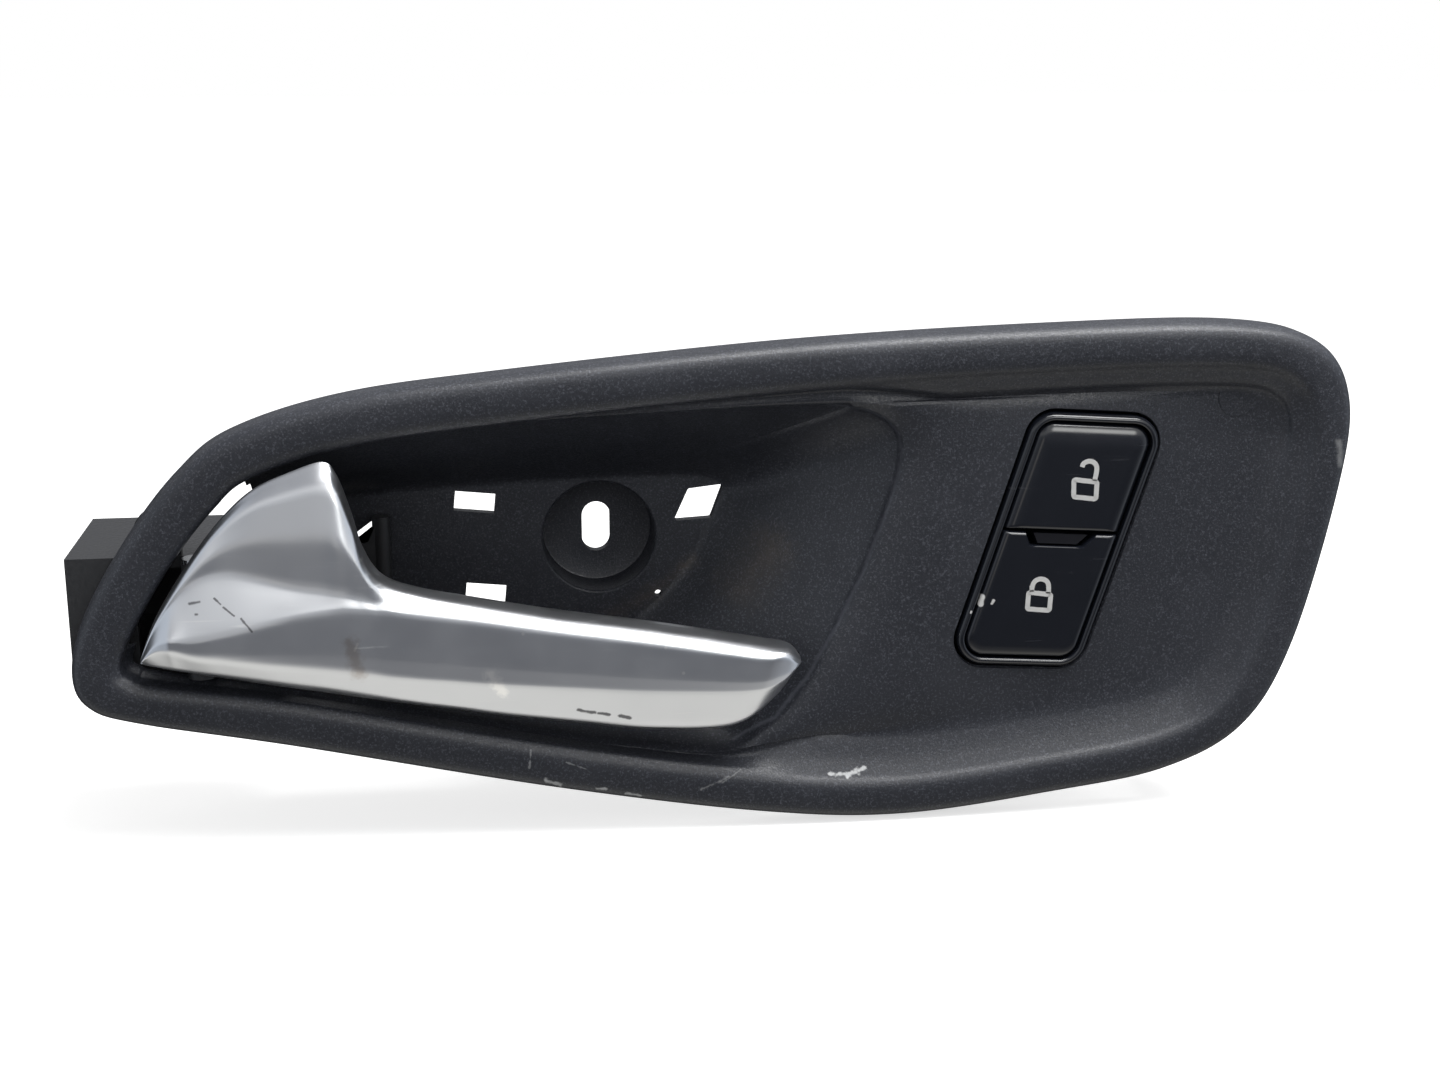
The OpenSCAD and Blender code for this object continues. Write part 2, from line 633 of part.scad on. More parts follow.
// The wire's path: a leg on the carrier's rib, the coil downwards, and a leg behind the lever's left end
wire_sides = 6;
coil_steps = 16;
function coil_point(t) = let (a = -360 * spring_turns * t)
  [hinge_x + spring_mean_r * cos(a), hinge_y + spring_mean_r * sin(a),
    mix(spring_high - wire_d / 2, spring_low + wire_d / 2, t)];
function wire_ring(i, n) = let (
  a = coil_point(max(0, (i - 1) / n)), b = coil_point(min(1, (i + 1) / n)), p = coil_point(i / n),
  u = (b - a) / norm(b - a), v = cross(u, [0, 0, 1]) / norm(cross(u, [0, 0, 1])), w = cross(v, u))
  [for (k = [0 : wire_sides - 1]) p + wire_d / 2 * (cos(k * 360 / wire_sides) * v + sin(k * 360 / wire_sides) * w)];

module return_spring() {
  n = spring_turns * coil_steps;
  color([0.6, 0.6, 0.62])
  union() {
    loft([for (i = [0 : n]) wire_ring(i, n)]);
    translate([hinge_x + spring_mean_r, hinge_y - wire_d / 2, spring_high - wire_d / 2])
      rotate([-90, 0, 0])
        cylinder(d = wire_d, h = box_front_y - hinge_y + leg_reach);
    translate([hinge_x + wire_d / 2, hinge_y - spring_mean_r, spring_low + wire_d / 2])
      rotate([0, -90, 0])
        cylinder(d = wire_d, h = 7);
  }
}

module lever_cover() {
  color([0.72, 0.73, 0.75])
  loft([for (i = [0 : stations]) cover_ring(i / stations)]);
}

module lever_core() {
  color([0.07, 0.07, 0.08])
  difference() {
    union() {
      loft([for (i = [0 : stations]) core_ring(i / stations)], true);
      for (z = [knuckle_bottom, knuckle_top - knuckle_len])
        knuckle(z);
      release_arm();
    }
    for (z = [knuckle_bottom, knuckle_top - knuckle_len])
      translate([hinge_x, hinge_y, z - 0.1])
        cylinder(r = pin_r + pin_fit + bush_wall, h = knuckle_len + 0.2);
    translate([hinge_x, hinge_y, knuckle_bottom - 1])
      cylinder(r = knuckle_r, h = 1 + flange_t);
    translate([hinge_x, hinge_y, knuckle_top - flange_t])
      cylinder(r = knuckle_r, h = 1 + flange_t);
    for (p = lever_screw_spots)
      rod(p.x, p.y, 0.9, edge_y - 2.4, edge_y + grip_t + 1);
  }
}

module knuckle(z) {
  translate([hinge_x, hinge_y, z])
    cylinder(r = knuckle_r, h = knuckle_len);
  translate([hinge_x - knuckle_r + 1, edge_y + 0.8, z])
    cube([2 * knuckle_r + 4, hinge_y - edge_y - 0.8 - pin_r, knuckle_len]);
}

// The arm reaches back from the hinge to the eye that takes the cable's end
module release_arm() {
  translate([hinge_x - arm_w / 2, hinge_y + pin_r + 1, knuckle_bottom + flange_t])
    cube([arm_w, arm_len - pin_r - 1, knuckle_len - 2 * flange_t]);
  difference() {
    translate([hinge_x, hinge_y + arm_len, knuckle_bottom + flange_t])
      cylinder(r = eye_r, h = knuckle_len - 2 * flange_t);
    translate([hinge_x, hinge_y + arm_len, knuckle_bottom - 1])
      cylinder(r = 1.8, h = knuckle_len + 2);
    translate([hinge_x - eye_r - 1, hinge_y + arm_len - 0.7, knuckle_bottom - 1])
      cube([eye_r + 1, 1.4, knuckle_len + 2]);
  }
}

lever_screw_spots = [[lever_x(-56), 8, backing_t], [lever_x(-18), -16, grip_t], [lever_x(14), -21, grip_t]];
module lever_screws() {
  color([0.5, 0.51, 0.53])
  for (p = lever_screw_spots) {
    back = edge_y + p.z;
    rod(p.x, p.y, 0.88, edge_y - 2.2, back + 0.1);
    rod(p.x, p.y, 2.2, back, back + 1.1);
  }
}

module rest_bumper() {
  color([0.05, 0.05, 0.05])
  rod(bumper_x, bumper_z, bumper_r, edge_y + backing_t + 0.02, edge_y + backing_t + bumper_len);
}

// The pad lies on the box's right wall, where the arm's eye reaches it at full swing
module stop_bumper() {
  color([0.05, 0.05, 0.05])
  translate([stop_x, hinge_y + arm_len * cos(lever_swing) - stop_w / 2, knuckle_bottom])
    cube([stop_t, stop_w, knuckle_len]);
}

// The slanted frame, rounded at its front edge and hollowed for the keys
module switch_frame() {
  color([0.03, 0.03, 0.035])
  difference() {
    stack([ring_at(switch_loop(-0.5), frame_y), ring_at(switch_loop(-0.15), frame_y + 0.2),
      ring_at(switch_loop(0), frame_y + 0.7), ring_at(switch_loop(0), dish_back_y + collar_len)]);
    stack([ring_at(switch_loop(-ring_w + 0.3), frame_y - 0.2), ring_at(switch_loop(-ring_w + 0.3), frame_y - 0.01),
      ring_at(switch_loop(-ring_w), frame_y + 0.4), ring_at(switch_loop(-ring_w), dish_back_y + collar_len + 1)]);
  }
}

// A key with rounded shoulders and a slightly domed face
module key_body(low, high, notch) {
  drops = [[3.2, 0], [2, 0.08], [1, 0.3], [0.4, 0.65], [0.1, 1.1], [0, 1.7]];
  stack(concat(
    [for (d = drops) ring_at(key_loop(low, high, d.x * (notch > 0 ? 0.45 : 1), notch), key_front_y + d.y)],
    [ring_at(key_loop(low, high, 0, notch), key_back_y)]));
}

module unlock_button() {
  color([0.02, 0.02, 0.025])
  key_body(unlock_low, key_end, 0);
}

module lock_button() {
  color([0.02, 0.02, 0.025])
  key_body(-key_end, lock_high, window_w);
}

window_drop = 0.5;
module indicator_lens() {
  color([0.12, 0.11, 0.12])
  prism([for (p = [[-window_w / 2, 0], [window_w / 2, 0], [window_w / 2 - 1.5, -window_h],
    [-window_w / 2 + 1.5, -window_h]]) switch_point([p.x, lock_high - 0.2 + p.y])],
    key_front_y + window_drop, board_y - 1.6);
}

housing_wall = 1.4;
housing_y = dish_back_y + collar_len + 0.02;
housing_back_y = dish_y + housing_depth;
module switch_housing() {
  color([0.1, 0.1, 0.11])
  difference() {
    union() {
      prism(switch_loop(0), housing_y, housing_back_y);
      translate([switch_at.x - shroud_w / 2, housing_back_y - 0.5, switch_at.y - shroud_h / 2])
        cube([shroud_w, shroud_len + 0.5, shroud_h]);
    }
    prism(switch_loop(-housing_wall), housing_y - 1, housing_back_y - housing_wall);
    translate([switch_at.x - shroud_w / 2 + 1.2, housing_back_y, switch_at.y - shroud_h / 2 + 1.2])
      cube([shroud_w - 2.4, shroud_len + 1, shroud_h - 2.4]);
    for (k = pin_spots)
      translate([switch_at.x + k - 0.35, housing_back_y - housing_wall - 1, switch_at.y - 0.35])
        cube([0.7, housing_wall + 2, 0.7]);
  }
}

shroud_w = 17;
shroud_h = 9;
shroud_len = 11;
pin_spots = [for (k = [-2 : 2]) k * 2.5];

module switch_board() {
  color([0.1, 0.35, 0.2])
  prism(switch_loop(-housing_wall - 0.4), board_y, board_y + board_t);
}

module dome(v) {
  p = switch_point([0, v]);
  translate([p.x, board_y, p.y])
    rotate([90, 0, 0])
      rotate_extrude()
        polygon([[0, 0], [4.2, 0], [4.2, 0.6], [2.6, dome_h], [2.6, board_y - key_back_y - 0.02],
          [0, board_y - key_back_y - 0.02]]);
}

module unlock_dome() {
  color([0.8, 0.8, 0.78])
  dome((unlock_low + key_end) / 2);
}

module lock_dome() {
  color([0.8, 0.8, 0.78])
  dome((lock_high - key_end) / 2);
}

module indicator_led() {
  p = switch_point([0, lock_high - 0.2 - window_h / 2]);
  color([0.9, 0.75, 0.3])
  translate([p.x - 1.6, board_y - 1.5, p.y - 0.8])
    cube([3.2, 1.5, 1.6]);
}

module connector_pins() {
  color([0.75, 0.68, 0.45])
  for (k = pin_spots)
    translate([switch_at.x + k - 0.32, board_y + board_t + 0.02, switch_at.y - 0.32])
      cube([0.64, housing_back_y + shroud_len - 2.5 - board_y - board_t, 0.64]);
}

// Bent leaf clips over the collar's two long sides
clip_w = 9;
module switch_clips() {
  color([0.62, 0.63, 0.64])
  for (s = [-1, 1]) {
    p = switch_point([s * (switch_w / 2 + pocket_gap + collar_t + 0.02), 0]);
    translate([p.x, dish_back_y + 0.3, p.y])
      rotate([0, -switch_turn + switch_lean, 0])
        scale([s, 1, 1])
          translate([0, 0, -clip_w / 2])
            linear_extrude(clip_w)
              polygon([[0.1, 0], [0.5, 0], [1.6, 2.4], [0.6, collar_len - 0.6], [0.1, collar_len - 0.6],
                [1.1, 2.4]]);
  }
}

// Folded spring clips that sit over the towers
module bezel_clips() {
  color([0.66, 0.6, 0.4])
  for (p = tower_spots)
    translate([p.x, dish_back_y + tower_len, p.y])
      rotate([0, -p.z, 0])
        translate([-tower_w / 2 + 0.8, 0, 0])
          rotate([0, 90, 0])
            linear_extrude(tower_w - 1.6)
              clip_fold();
}

module clip_fold() {
  half = tower_t / 2 + 0.02;
  for (s = [-1, 1])
    scale([s, 1])
      polygon([[0, 0.02], [half, 0.02], [half, -9], [half + 0.5, -9], [half + 2.2, -4.6], [half + 0.6, 0.6],
        [0, 0.6]]);
}

bezel();
pivot_carrier();
carrier_screws();
pivot_pin();
pivot_bushes();
return_spring();
lever_cover();
lever_core();
lever_screws();
rest_bumper();
stop_bumper();
switch_frame();
unlock_button();
lock_button();
indicator_lens();
switch_housing();
switch_board();
unlock_dome();
lock_dome();
indicator_led();
connector_pins();
switch_clips();
bezel_clips();
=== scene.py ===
import math

import bpy
import numpy as np
from bpy.props import FloatProperty, FloatVectorProperty, IntProperty, PointerProperty
from mathutils import Matrix, Vector


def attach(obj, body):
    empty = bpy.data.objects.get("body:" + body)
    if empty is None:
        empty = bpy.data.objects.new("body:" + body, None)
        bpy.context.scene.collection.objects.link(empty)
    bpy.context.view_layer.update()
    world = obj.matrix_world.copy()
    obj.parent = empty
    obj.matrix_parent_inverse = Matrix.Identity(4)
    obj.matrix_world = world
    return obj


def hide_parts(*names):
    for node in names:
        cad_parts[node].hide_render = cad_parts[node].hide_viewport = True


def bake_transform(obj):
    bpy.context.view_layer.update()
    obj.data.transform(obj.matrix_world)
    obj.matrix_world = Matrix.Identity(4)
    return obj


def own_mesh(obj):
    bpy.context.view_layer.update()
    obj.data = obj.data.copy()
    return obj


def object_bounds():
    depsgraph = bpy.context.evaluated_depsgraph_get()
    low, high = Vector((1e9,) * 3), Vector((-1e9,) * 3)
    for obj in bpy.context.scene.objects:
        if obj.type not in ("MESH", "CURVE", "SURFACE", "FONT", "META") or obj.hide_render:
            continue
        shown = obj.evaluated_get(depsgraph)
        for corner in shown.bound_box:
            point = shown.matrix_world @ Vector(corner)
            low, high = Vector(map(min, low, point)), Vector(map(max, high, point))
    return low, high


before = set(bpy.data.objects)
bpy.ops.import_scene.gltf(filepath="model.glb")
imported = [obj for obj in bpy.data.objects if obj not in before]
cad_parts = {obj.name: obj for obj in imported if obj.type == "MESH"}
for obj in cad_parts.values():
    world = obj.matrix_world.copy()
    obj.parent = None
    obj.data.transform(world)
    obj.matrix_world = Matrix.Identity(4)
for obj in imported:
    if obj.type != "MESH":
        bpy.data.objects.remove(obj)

bl_info = {
    "name": "Interior door handle",
    "version": (1, 0, 0),
    "blender": (4, 5, 0),
    "location": "3D View > Sidebar > Handle",
    "description": "Dresses the packed door handle: grained bezel, satin chrome lever, gloss black lock switch",
    "category": "Object",
}

MM = 0.001
cad_low, cad_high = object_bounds()

# Depths in millimetres from the fixing slot's bearing face, and the wall, as in the part's source
CUP_Y, CREST_Y, SEAT_Y, DISH_Y, WALL = -9.0, -38.0, -31.0, -34.0, 2.3
DISH_BACK_Y = DISH_Y + WALL
# The rim's width, its reach left, right, up and down from the slot, and the steps between two drawn points
RIM_W, LEFT, RIGHT, TOP, BELLY, RIM_STEPS = 9.0, 99.5, 144.0, 45.0, 52.0, 16
# The fixing slot, the hinge pin and its bore, the carrier's box, its screws, and its tongue's end in the cup
SLOT_W, SLOT_H = 5.8, 10.4
PIN_X, PIN_Y, PIN_BORE_R = -76.0, -33.0, 1.53
BOX_LEFT, BOX_RIGHT, BOX_FRONT, BOX_BACK, BOX_LOW, BOX_HIGH = -100.469, -59.469, -28.0, 4.0, -18.19, 3.81
BOX_WALL = 2.2
BOSSES = [(-83.4, 8.6), (-85.5, -22.4), (-64, -27.6)]
TONGUE_X = -43.4
# The right side of the bezel's window for the carrier, and the right side and the foot of the slit above the lever
WINDOW_X, SLIT_X, SLIT_LOW = -59.07, -65.6, -12


def mix(a, b, t):
    """a + (b - a) t."""
    return a + (b - a) * t


def ease(t):
    """t^2 (3 - 2t), which is level at 0 and at 1."""
    return t * t * (3 - 2 * t)


def catmull(a, b, c, d, t):
    """The Catmull-Rom span from b to c: half of 2b + (c-a)t + (2a-5b+4c-d)t^2 + (3b-a-3c+d)t^3."""
    return 0.5 * (2 * b + (c - a) * t + (2 * a - 5 * b + 4 * c - d) * t**2 + (3 * b - a - 3 * c + d) * t**3)


def closed_curve(points, steps=RIM_STEPS):
    """A closed Catmull-Rom curve with equal steps on each span."""
    p = np.asarray(points, float)
    spans = (q[:, None, :] for q in (np.roll(p, 1, 0), p, np.roll(p, -1, 0), np.roll(p, -2, 0)))
    return catmull(*spans, (np.arange(steps) / steps)[None, :, None]).reshape(-1, p.shape[1])


def along(points, t):
    """Points at the shares t of an open Catmull-Rom curve."""
    p, t = np.asarray(points, float), np.asarray(t, float)
    n = len(p) - 1
    s = np.minimum(t * n, n - 0.01)
    i = np.floor(s).astype(int)
    return catmull(p[np.maximum(i - 1, 0)], p[i], p[i + 1], p[np.minimum(i + 2, n)], (s - i)[..., None])


def inset(loop, d):
    """A closed clockwise loop moved inwards by d, square to the line between each point's two neighbours."""
    v = np.roll(loop, -1, 0) - np.roll(loop, 1, 0)
    u = v / np.linalg.norm(v, axis=1, keepdims=True)
    return loop + np.asarray(d, float).reshape(-1, 1) * np.c_[u[:, 1], -u[:, 0]]


def at_depth(loop, y):
    """Points of a loop in X and Z put at the depth y."""
    return np.c_[loop[:, 0], np.broadcast_to(y, len(loop)), loop[:, 1]]


def rounded(corners, radii, steps):
    """A polygon whose corners are arcs that touch both sides: each centre is b + mid r / sin(half the angle)."""
    c = np.asarray(corners, float)
    r = np.asarray(radii, float)[:, None]
    u, v = np.roll(c, 1, 0) - c, np.roll(c, -1, 0) - c
    u, v = u / np.linalg.norm(u, axis=1, keepdims=True), v / np.linalg.norm(v, axis=1, keepdims=True)
    half = np.arccos(np.clip((u * v).sum(1), -1, 1))[:, None] / 2
    mid = (u + v) / np.linalg.norm(u + v, axis=1, keepdims=True)
    centre = c + mid * r / np.sin(half)
    start = c + u * r / np.tan(half) - centre
    side = np.where(u[:, :1] * v[:, 1:] - u[:, 1:] * v[:, :1] > 0, -1.0, 1.0)
    w = side * (np.pi - 2 * half) * (np.arange(steps + 1) / steps)[None, :]
    x = centre[:, :1] + start[:, :1] * np.cos(w) - start[:, 1:] * np.sin(w)
    z = centre[:, 1:] + start[:, :1] * np.sin(w) + start[:, 1:] * np.cos(w)
    return np.stack([x, z], 2).reshape(-1, 2)


def loft(loops, wrap=False):
    """Vertices and faces of a closed surface through equal loops: k n + i is point i of loop k. The ends are closed
    by fans, or wrap joins the last loop to the first."""
    g = np.asarray(loops, float)
    m, n = g.shape[:2]
    k, i = np.meshgrid(np.arange(m if wrap else m - 1), np.arange(n), indexing="ij")
    j, l = (i + 1) % n, (k + 1) % m
    quads = np.stack([k * n + i, l * n + i, l * n + j, k * n + j], 2).reshape(-1, 4)
    verts = g.reshape(-1, 3)
    if wrap:
        return verts, [quads]
    verts = np.vstack([verts, g[0].mean(0), g[-1].mean(0)])
    i = np.arange(n)
    j = (i + 1) % n
    first = np.stack([np.full(n, m * n), i, j], 1)
    last = np.stack([np.full(n, m * n + 1), (m - 1) * n + j, (m - 1) * n + i], 1)
    return verts, [quads, first, last]


def outwards(verts, faces):
    """Turns all faces round if the volume that they enclose, the sum of a . (b x c) / 6, comes out negative."""
    total = 0.0
    for f in faces:
        for k in range(1, f.shape[1] - 1):
            a, b, c = verts[f[:, 0]], verts[f[:, k]], verts[f[:, k + 1]]
            total += (a * np.cross(b, c)).sum()
    return faces if total > 0 else [f[:, ::-1] for f in faces]


def make_object(name, parts):
    """One object from several (vertices in mm, face arrays), each turned to face outwards."""
    verts, lists, base = [], [], 0
    for v, f in parts:
        f = outwards(v, f)
        verts.append(v * MM)
        lists += [(q + base).tolist() for q in f]
        base += len(v)
    mesh = bpy.data.meshes.new(name)
    mesh.from_pydata(np.vstack(verts).tolist(), [], [face for q in lists for face in q])
    mesh.validate()
    mesh.update()
    obj = bpy.data.objects.new(name, mesh)
    bpy.context.collection.objects.link(obj)
    return obj


def prism(outline, a, b):
    """An outline in X and Z swept from y = a to y = b."""
    return loft([at_depth(np.asarray(outline, float), a), at_depth(np.asarray(outline, float), b)])


def circle(x, z, r, n=48):
    """Points x + r cos w, z - r sin w, which run clockwise as the other outlines do."""
    w = np.linspace(0, 2 * np.pi, n, endpoint=False)
    return np.c_[x + r * np.cos(w), z - r * np.sin(w)]


def rod(x, z, r, a, b, n=48):
    """A cylinder along Y from a to b."""
    return prism(circle(x, z, r, n), a, b)


def turned(x, z, profile, n=96):
    """A solid of revolution about the line along Y through x, z, from (radius, depth) pairs."""
    return loft([at_depth(circle(x, z, r, n), y) for r, y in profile])


def upright(x, y, r, a, b, n=48):
    """A cylinder along Z from a to b."""
    w = np.linspace(0, 2 * np.pi, n, endpoint=False)
    return loft([np.c_[x + r * np.cos(w), y + r * np.sin(w), np.full(n, z)] for z in (a, b)])


def cuboid(x, y, z, w, d, h):
    """A box from its low corner and its sizes along X, Y and Z."""
    corners = np.array([[x, y, 0], [x + w, y, 0], [x + w, y + d, 0], [x, y + d, 0]])
    return loft([corners + [0, 0, v] for v in (z, z + h)])


def block(x, z, w, h, a, b, turn=0.0):
    """A box of width w and height h from y = a to y = b, turned about Y."""
    c = np.array([[-w, h], [w, h], [w, -h], [-w, -h]]) / 2
    t = math.radians(turn)
    c = c @ np.array([[math.cos(t), math.sin(t)], [-math.sin(t), math.cos(t)]])
    return prism(c + [x, z], a, b)


def carve(obj, tools):
    """Applies boolean tools, (operation, parts) in order, through the evaluated mesh."""
    helpers = []
    for k, (operation, parts) in enumerate(tools):
        helper = make_object(f"tool_{k}", parts)
        helpers.append(helper)
        m = obj.modifiers.new(f"cut_{k}", "BOOLEAN")
        m.operation = operation
        m.object = helper
        m.solver = "MANIFOLD"
    graph = bpy.context.evaluated_depsgraph_get()
    done = bpy.data.meshes.new_from_object(obj.evaluated_get(graph))
    obj.modifiers.clear()
    old, obj.data = obj.data, done
    bpy.data.meshes.remove(old)
    done.name = obj.name
    for helper in helpers:
        mesh = helper.data
        bpy.data.objects.remove(helper)
        bpy.data.meshes.remove(mesh)
    if len(obj.data.polygons) < 100:
        raise RuntimeError(f"{obj.name} lost its surface in a boolean step")


def smooth(obj, angle):
    """Smooth shading, with the edges that turn by more than angle kept sharp."""
    obj.data.shade_smooth()
    obj.data.set_sharp_from_angle(angle=math.radians(angle))


# Drawn outlines: the rim in shares of its reaches, the ways inwards at its corners, the cup's right edge, its floor
RIM_SHAPE = np.array([
    [-1, -.31], [-.97, -.1], [-.885, .2], [-.79, .46], [-.69, .63], [-.49, .765], [-.2, .845],
    [.24, .95], [.59, .998], [.83, 1], [.95, .91], [1, .67], [.995, .27], [.945, -.37], [.88, -.7],
    [.77, -.865], [.61, -.94], [.4, -1], [.21, -.965], [-.1, -.83], [-.6, -.62], [-.88, -.51], [-.975, -.44]])
CORNER_WAYS = {0: (1, .12), 10: (-.62, -.86), 11: (-.95, -.5), 21: (.46, .82), 22: (.93, .6)}
CUP_EDGE_RIGHT = np.array([
    [38, 30.7], [47.5, 29.7], [52.8, 27.6], [55.6, 24.4], [56.2, 20.5], [55.4, 15.5], [53.6, 10],
    [50, -.5], [44.5, -12.5], [37.5, -24.8], [30, -33.3], [20.5, -37.3]])
CUP_FIRST, CUP_LIP, DISH_FILLET = 7, 0.6, 8.0
FLOOR_SHAPE = np.array([
    [-84, -12], [-81, -6], [-75, 1], [-66, 7], [-56, 10], [-42, 11.6], [-22, 12.6], [0, 13.2],
    [14, 13.2], [21.5, 12.6], [25.2, 10.8], [25.7, 8], [23.4, 3], [20, -4.5], [16, -10.5], [10.5, -16],
    [4, -21], [-4, -24.5], [-13, -26.2], [-25, -26], [-57, -22.8], [-79, -18.6], [-83, -16]])

reaches = np.c_[np.where(RIM_SHAPE[:, 0] < 0, LEFT, RIGHT), np.where(RIM_SHAPE[:, 1] < 0, BELLY, TOP)]
rim_points = RIM_SHAPE * reaches
rim_ways = inset(rim_points, np.ones(len(rim_points))) - rim_points
for place, way in CORNER_WAYS.items():
    rim_ways[place] = way
rim_line, rim_way_line = closed_curve(rim_points), closed_curve(rim_ways)
cup_points = rim_points + (RIM_W + CUP_LIP) * rim_ways
cup_points[CUP_FIRST:CUP_FIRST + len(CUP_EDGE_RIGHT)] = CUP_EDGE_RIGHT
cup_line, floor_line = closed_curve(cup_points), closed_curve(FLOOR_SHAPE)


def openings(here, there):
    """How far the dish has opened at each point of a loop, 0 to 1, from the least distance to the other loop."""
    gap = np.linalg.norm(here[:, None] - there[None], axis=2).min(1)
    share = np.clip(0.6 * (gap - CUP_LIP) / DISH_FILLET, 0, 1)
    return mix(share, ease(share), 0.7)


def in_from_rim(d):
    """The rim's outline moved inwards by d along its own ways."""
    return rim_line + np.reshape(d, (-1, 1)) * rim_way_line


crease_line = in_from_rim(RIM_W)
rim_open, cup_open = openings(crease_line, cup_line), openings(cup_line, crease_line)
# The fillet between rim and dish is wide below and narrow above
fillet_reach = mix(7.0, 3.8, np.clip((rim_line[:, 1] + 10) / 40, 0, 1))


def fade(shut, opened, share=rim_open):
    """Values round a loop between those where the dish is shut and those where it is open."""
    return mix(shut, opened, share)


def cup_ring(in_shut, in_open, y_shut, y_open):
    """The cup's edge, moved inwards and set in depth by values that fade as the dish opens."""
    return at_depth(inset(cup_line, fade(in_shut, in_open, cup_open)), fade(y_shut, y_open, cup_open))


def wall_loop(t, out):
    """The cup's wall at the share t from its edge to its floor, moved outwards by out."""
    return inset(mix(inset(cup_line, 0.9), floor_line, t), -out)


CUP_FRONT_Y = DISH_Y + 2.5
MID_Y = mix(CUP_FRONT_Y, CUP_Y, 0.47)


def front_rings():
    """The moulding's front as rings, from a flat ring in the cup floor out over the rim to the seat."""
    return [
        at_depth(inset(floor_line, 2.4), CUP_Y),
        at_depth(inset(floor_line, 1.0), CUP_Y - 0.12),
        at_depth(mix(floor_line, wall_loop(0.5, 0), 0.09), CUP_Y - 1.6),
        at_depth(wall_loop(0.5, 0), MID_Y),
        at_depth(inset(cup_line, 0.9), CUP_FRONT_Y),
        cup_ring(0, -1, DISH_Y + 0.7, DISH_Y),
        at_depth(in_from_rim(fade(RIM_W + 0.5, RIM_W + fillet_reach)), fade(DISH_Y + 0.4, DISH_Y)),
        at_depth(in_from_rim(fade(RIM_W + 0.25, RIM_W + 2.6)), fade(DISH_Y - 1.5, DISH_Y - 1.3)),
        at_depth(crease_line, CREST_Y + 1.4),
        at_depth(in_from_rim(RIM_W - 1.5), CREST_Y + 0.3),
        at_depth(in_from_rim(4.2), CREST_Y),
        at_depth(in_from_rim(1.6), CREST_Y + 0.5),
        at_depth(in_from_rim(0.3), CREST_Y + 2.4),
        at_depth(rim_line, SEAT_Y)]


def back_rings():
    """The moulding's back as rings, a wall behind the front, from the seat in to the cup's floor."""
    return [
        at_depth(in_from_rim(WALL), SEAT_Y),
        at_depth(in_from_rim(WALL + 0.4), CREST_Y + WALL + 0.4),
        at_depth(in_from_rim(fade(RIM_W - 2.6, RIM_W - 1.4)), fade(CREST_Y + WALL, CREST_Y + WALL + 0.8)),
        at_depth(in_from_rim(fade(RIM_W - 2.1, RIM_W + 4)), fade(CREST_Y + WALL + 0.3, DISH_BACK_Y)),
        cup_ring(-2.1, -2.8, DISH_Y + 0.4, DISH_BACK_Y),
        cup_ring(-1.9, -2.6, CUP_FRONT_Y, CUP_FRONT_Y - 0.8 + WALL / 2),
        at_depth(wall_loop(0.5, WALL), MID_Y + WALL / 2),
        at_depth(inset(floor_line, -WALL), CUP_Y + WALL)]


def between(rings, steps):
    """Rings smoothed across: on each chord-spaced span the cubic Hermite curve h00 b + h10 m + h01 c + h11 n,
    with each slope (c-b)/L1 and (b-a)/L0 averaged by the other's length."""
    g = np.stack(rings)
    span = np.sqrt(np.maximum(np.linalg.norm(np.diff(g, axis=0), axis=2, keepdims=True), 1e-4))
    step = np.diff(g, axis=0) / span
    slope = np.empty_like(g)
    slope[1:-1] = (step[:-1] * span[1:] + step[1:] * span[:-1]) / (span[1:] + span[:-1])
    slope[0], slope[-1] = step[0], step[-1]
    t = (np.arange(steps) / steps)[None, :, None, None]
    b, c = g[:-1, None], g[1:, None]
    m, n = (slope[:-1] * span)[:, None], (slope[1:] * span)[:, None]
    q = ((2 * t**3 - 3 * t**2 + 1) * b + (t**3 - 2 * t**2 + t) * m + (3 * t**2 - 2 * t**3) * c + (t**3 - t**2) * n)
    return np.concatenate([q.reshape(-1, *g.shape[1:]), g[-1:]])


# The switch: its place, slant and size, its ring and gaps, its depths, the split between the keys, and its collar
SWITCH_AT = np.array([87.0, 2.7])
LEAN, TURN, SWITCH_W, SWITCH_H = math.radians(13.8), math.radians(-4), 26.6, 50.6
RING_W, KEY_GAP, POCKET_GAP = 1.5, 0.35, 0.5
FRAME_Y = DISH_Y - 1.4
KEY_FRONT_Y, KEY_BACK_Y = FRAME_Y - 0.1, FRAME_Y + 7.4
SPLIT_V, WINDOW_W = 2.0, 10.8
KEY_END = SWITCH_H / 2 - RING_W - KEY_GAP
COLLAR_T, COLLAR_LEN = 1.6, 6.0


def switch_point(p):
    """Points of the upright switch, leant to x + z tan(LEAN), turned by TURN and moved to SWITCH_AT."""
    p = np.asarray(p, float)
    q = np.stack([p[..., 0] + p[..., 1] * math.tan(LEAN), p[..., 1]], -1)
    c, s = math.cos(TURN), math.sin(TURN)
    return SWITCH_AT + q @ np.array([[c, s], [-s, c]])


def switch_loop(d, steps=18):
    """The switch's rounded outline, grown by d."""
    w, h = SWITCH_W / 2 + d, SWITCH_H / 2 + d
    return rounded(switch_point([[-w, h], [w, h], [w, -h], [-w, -h]]), [max(5.5 + d, 0.4)] * 4, steps)


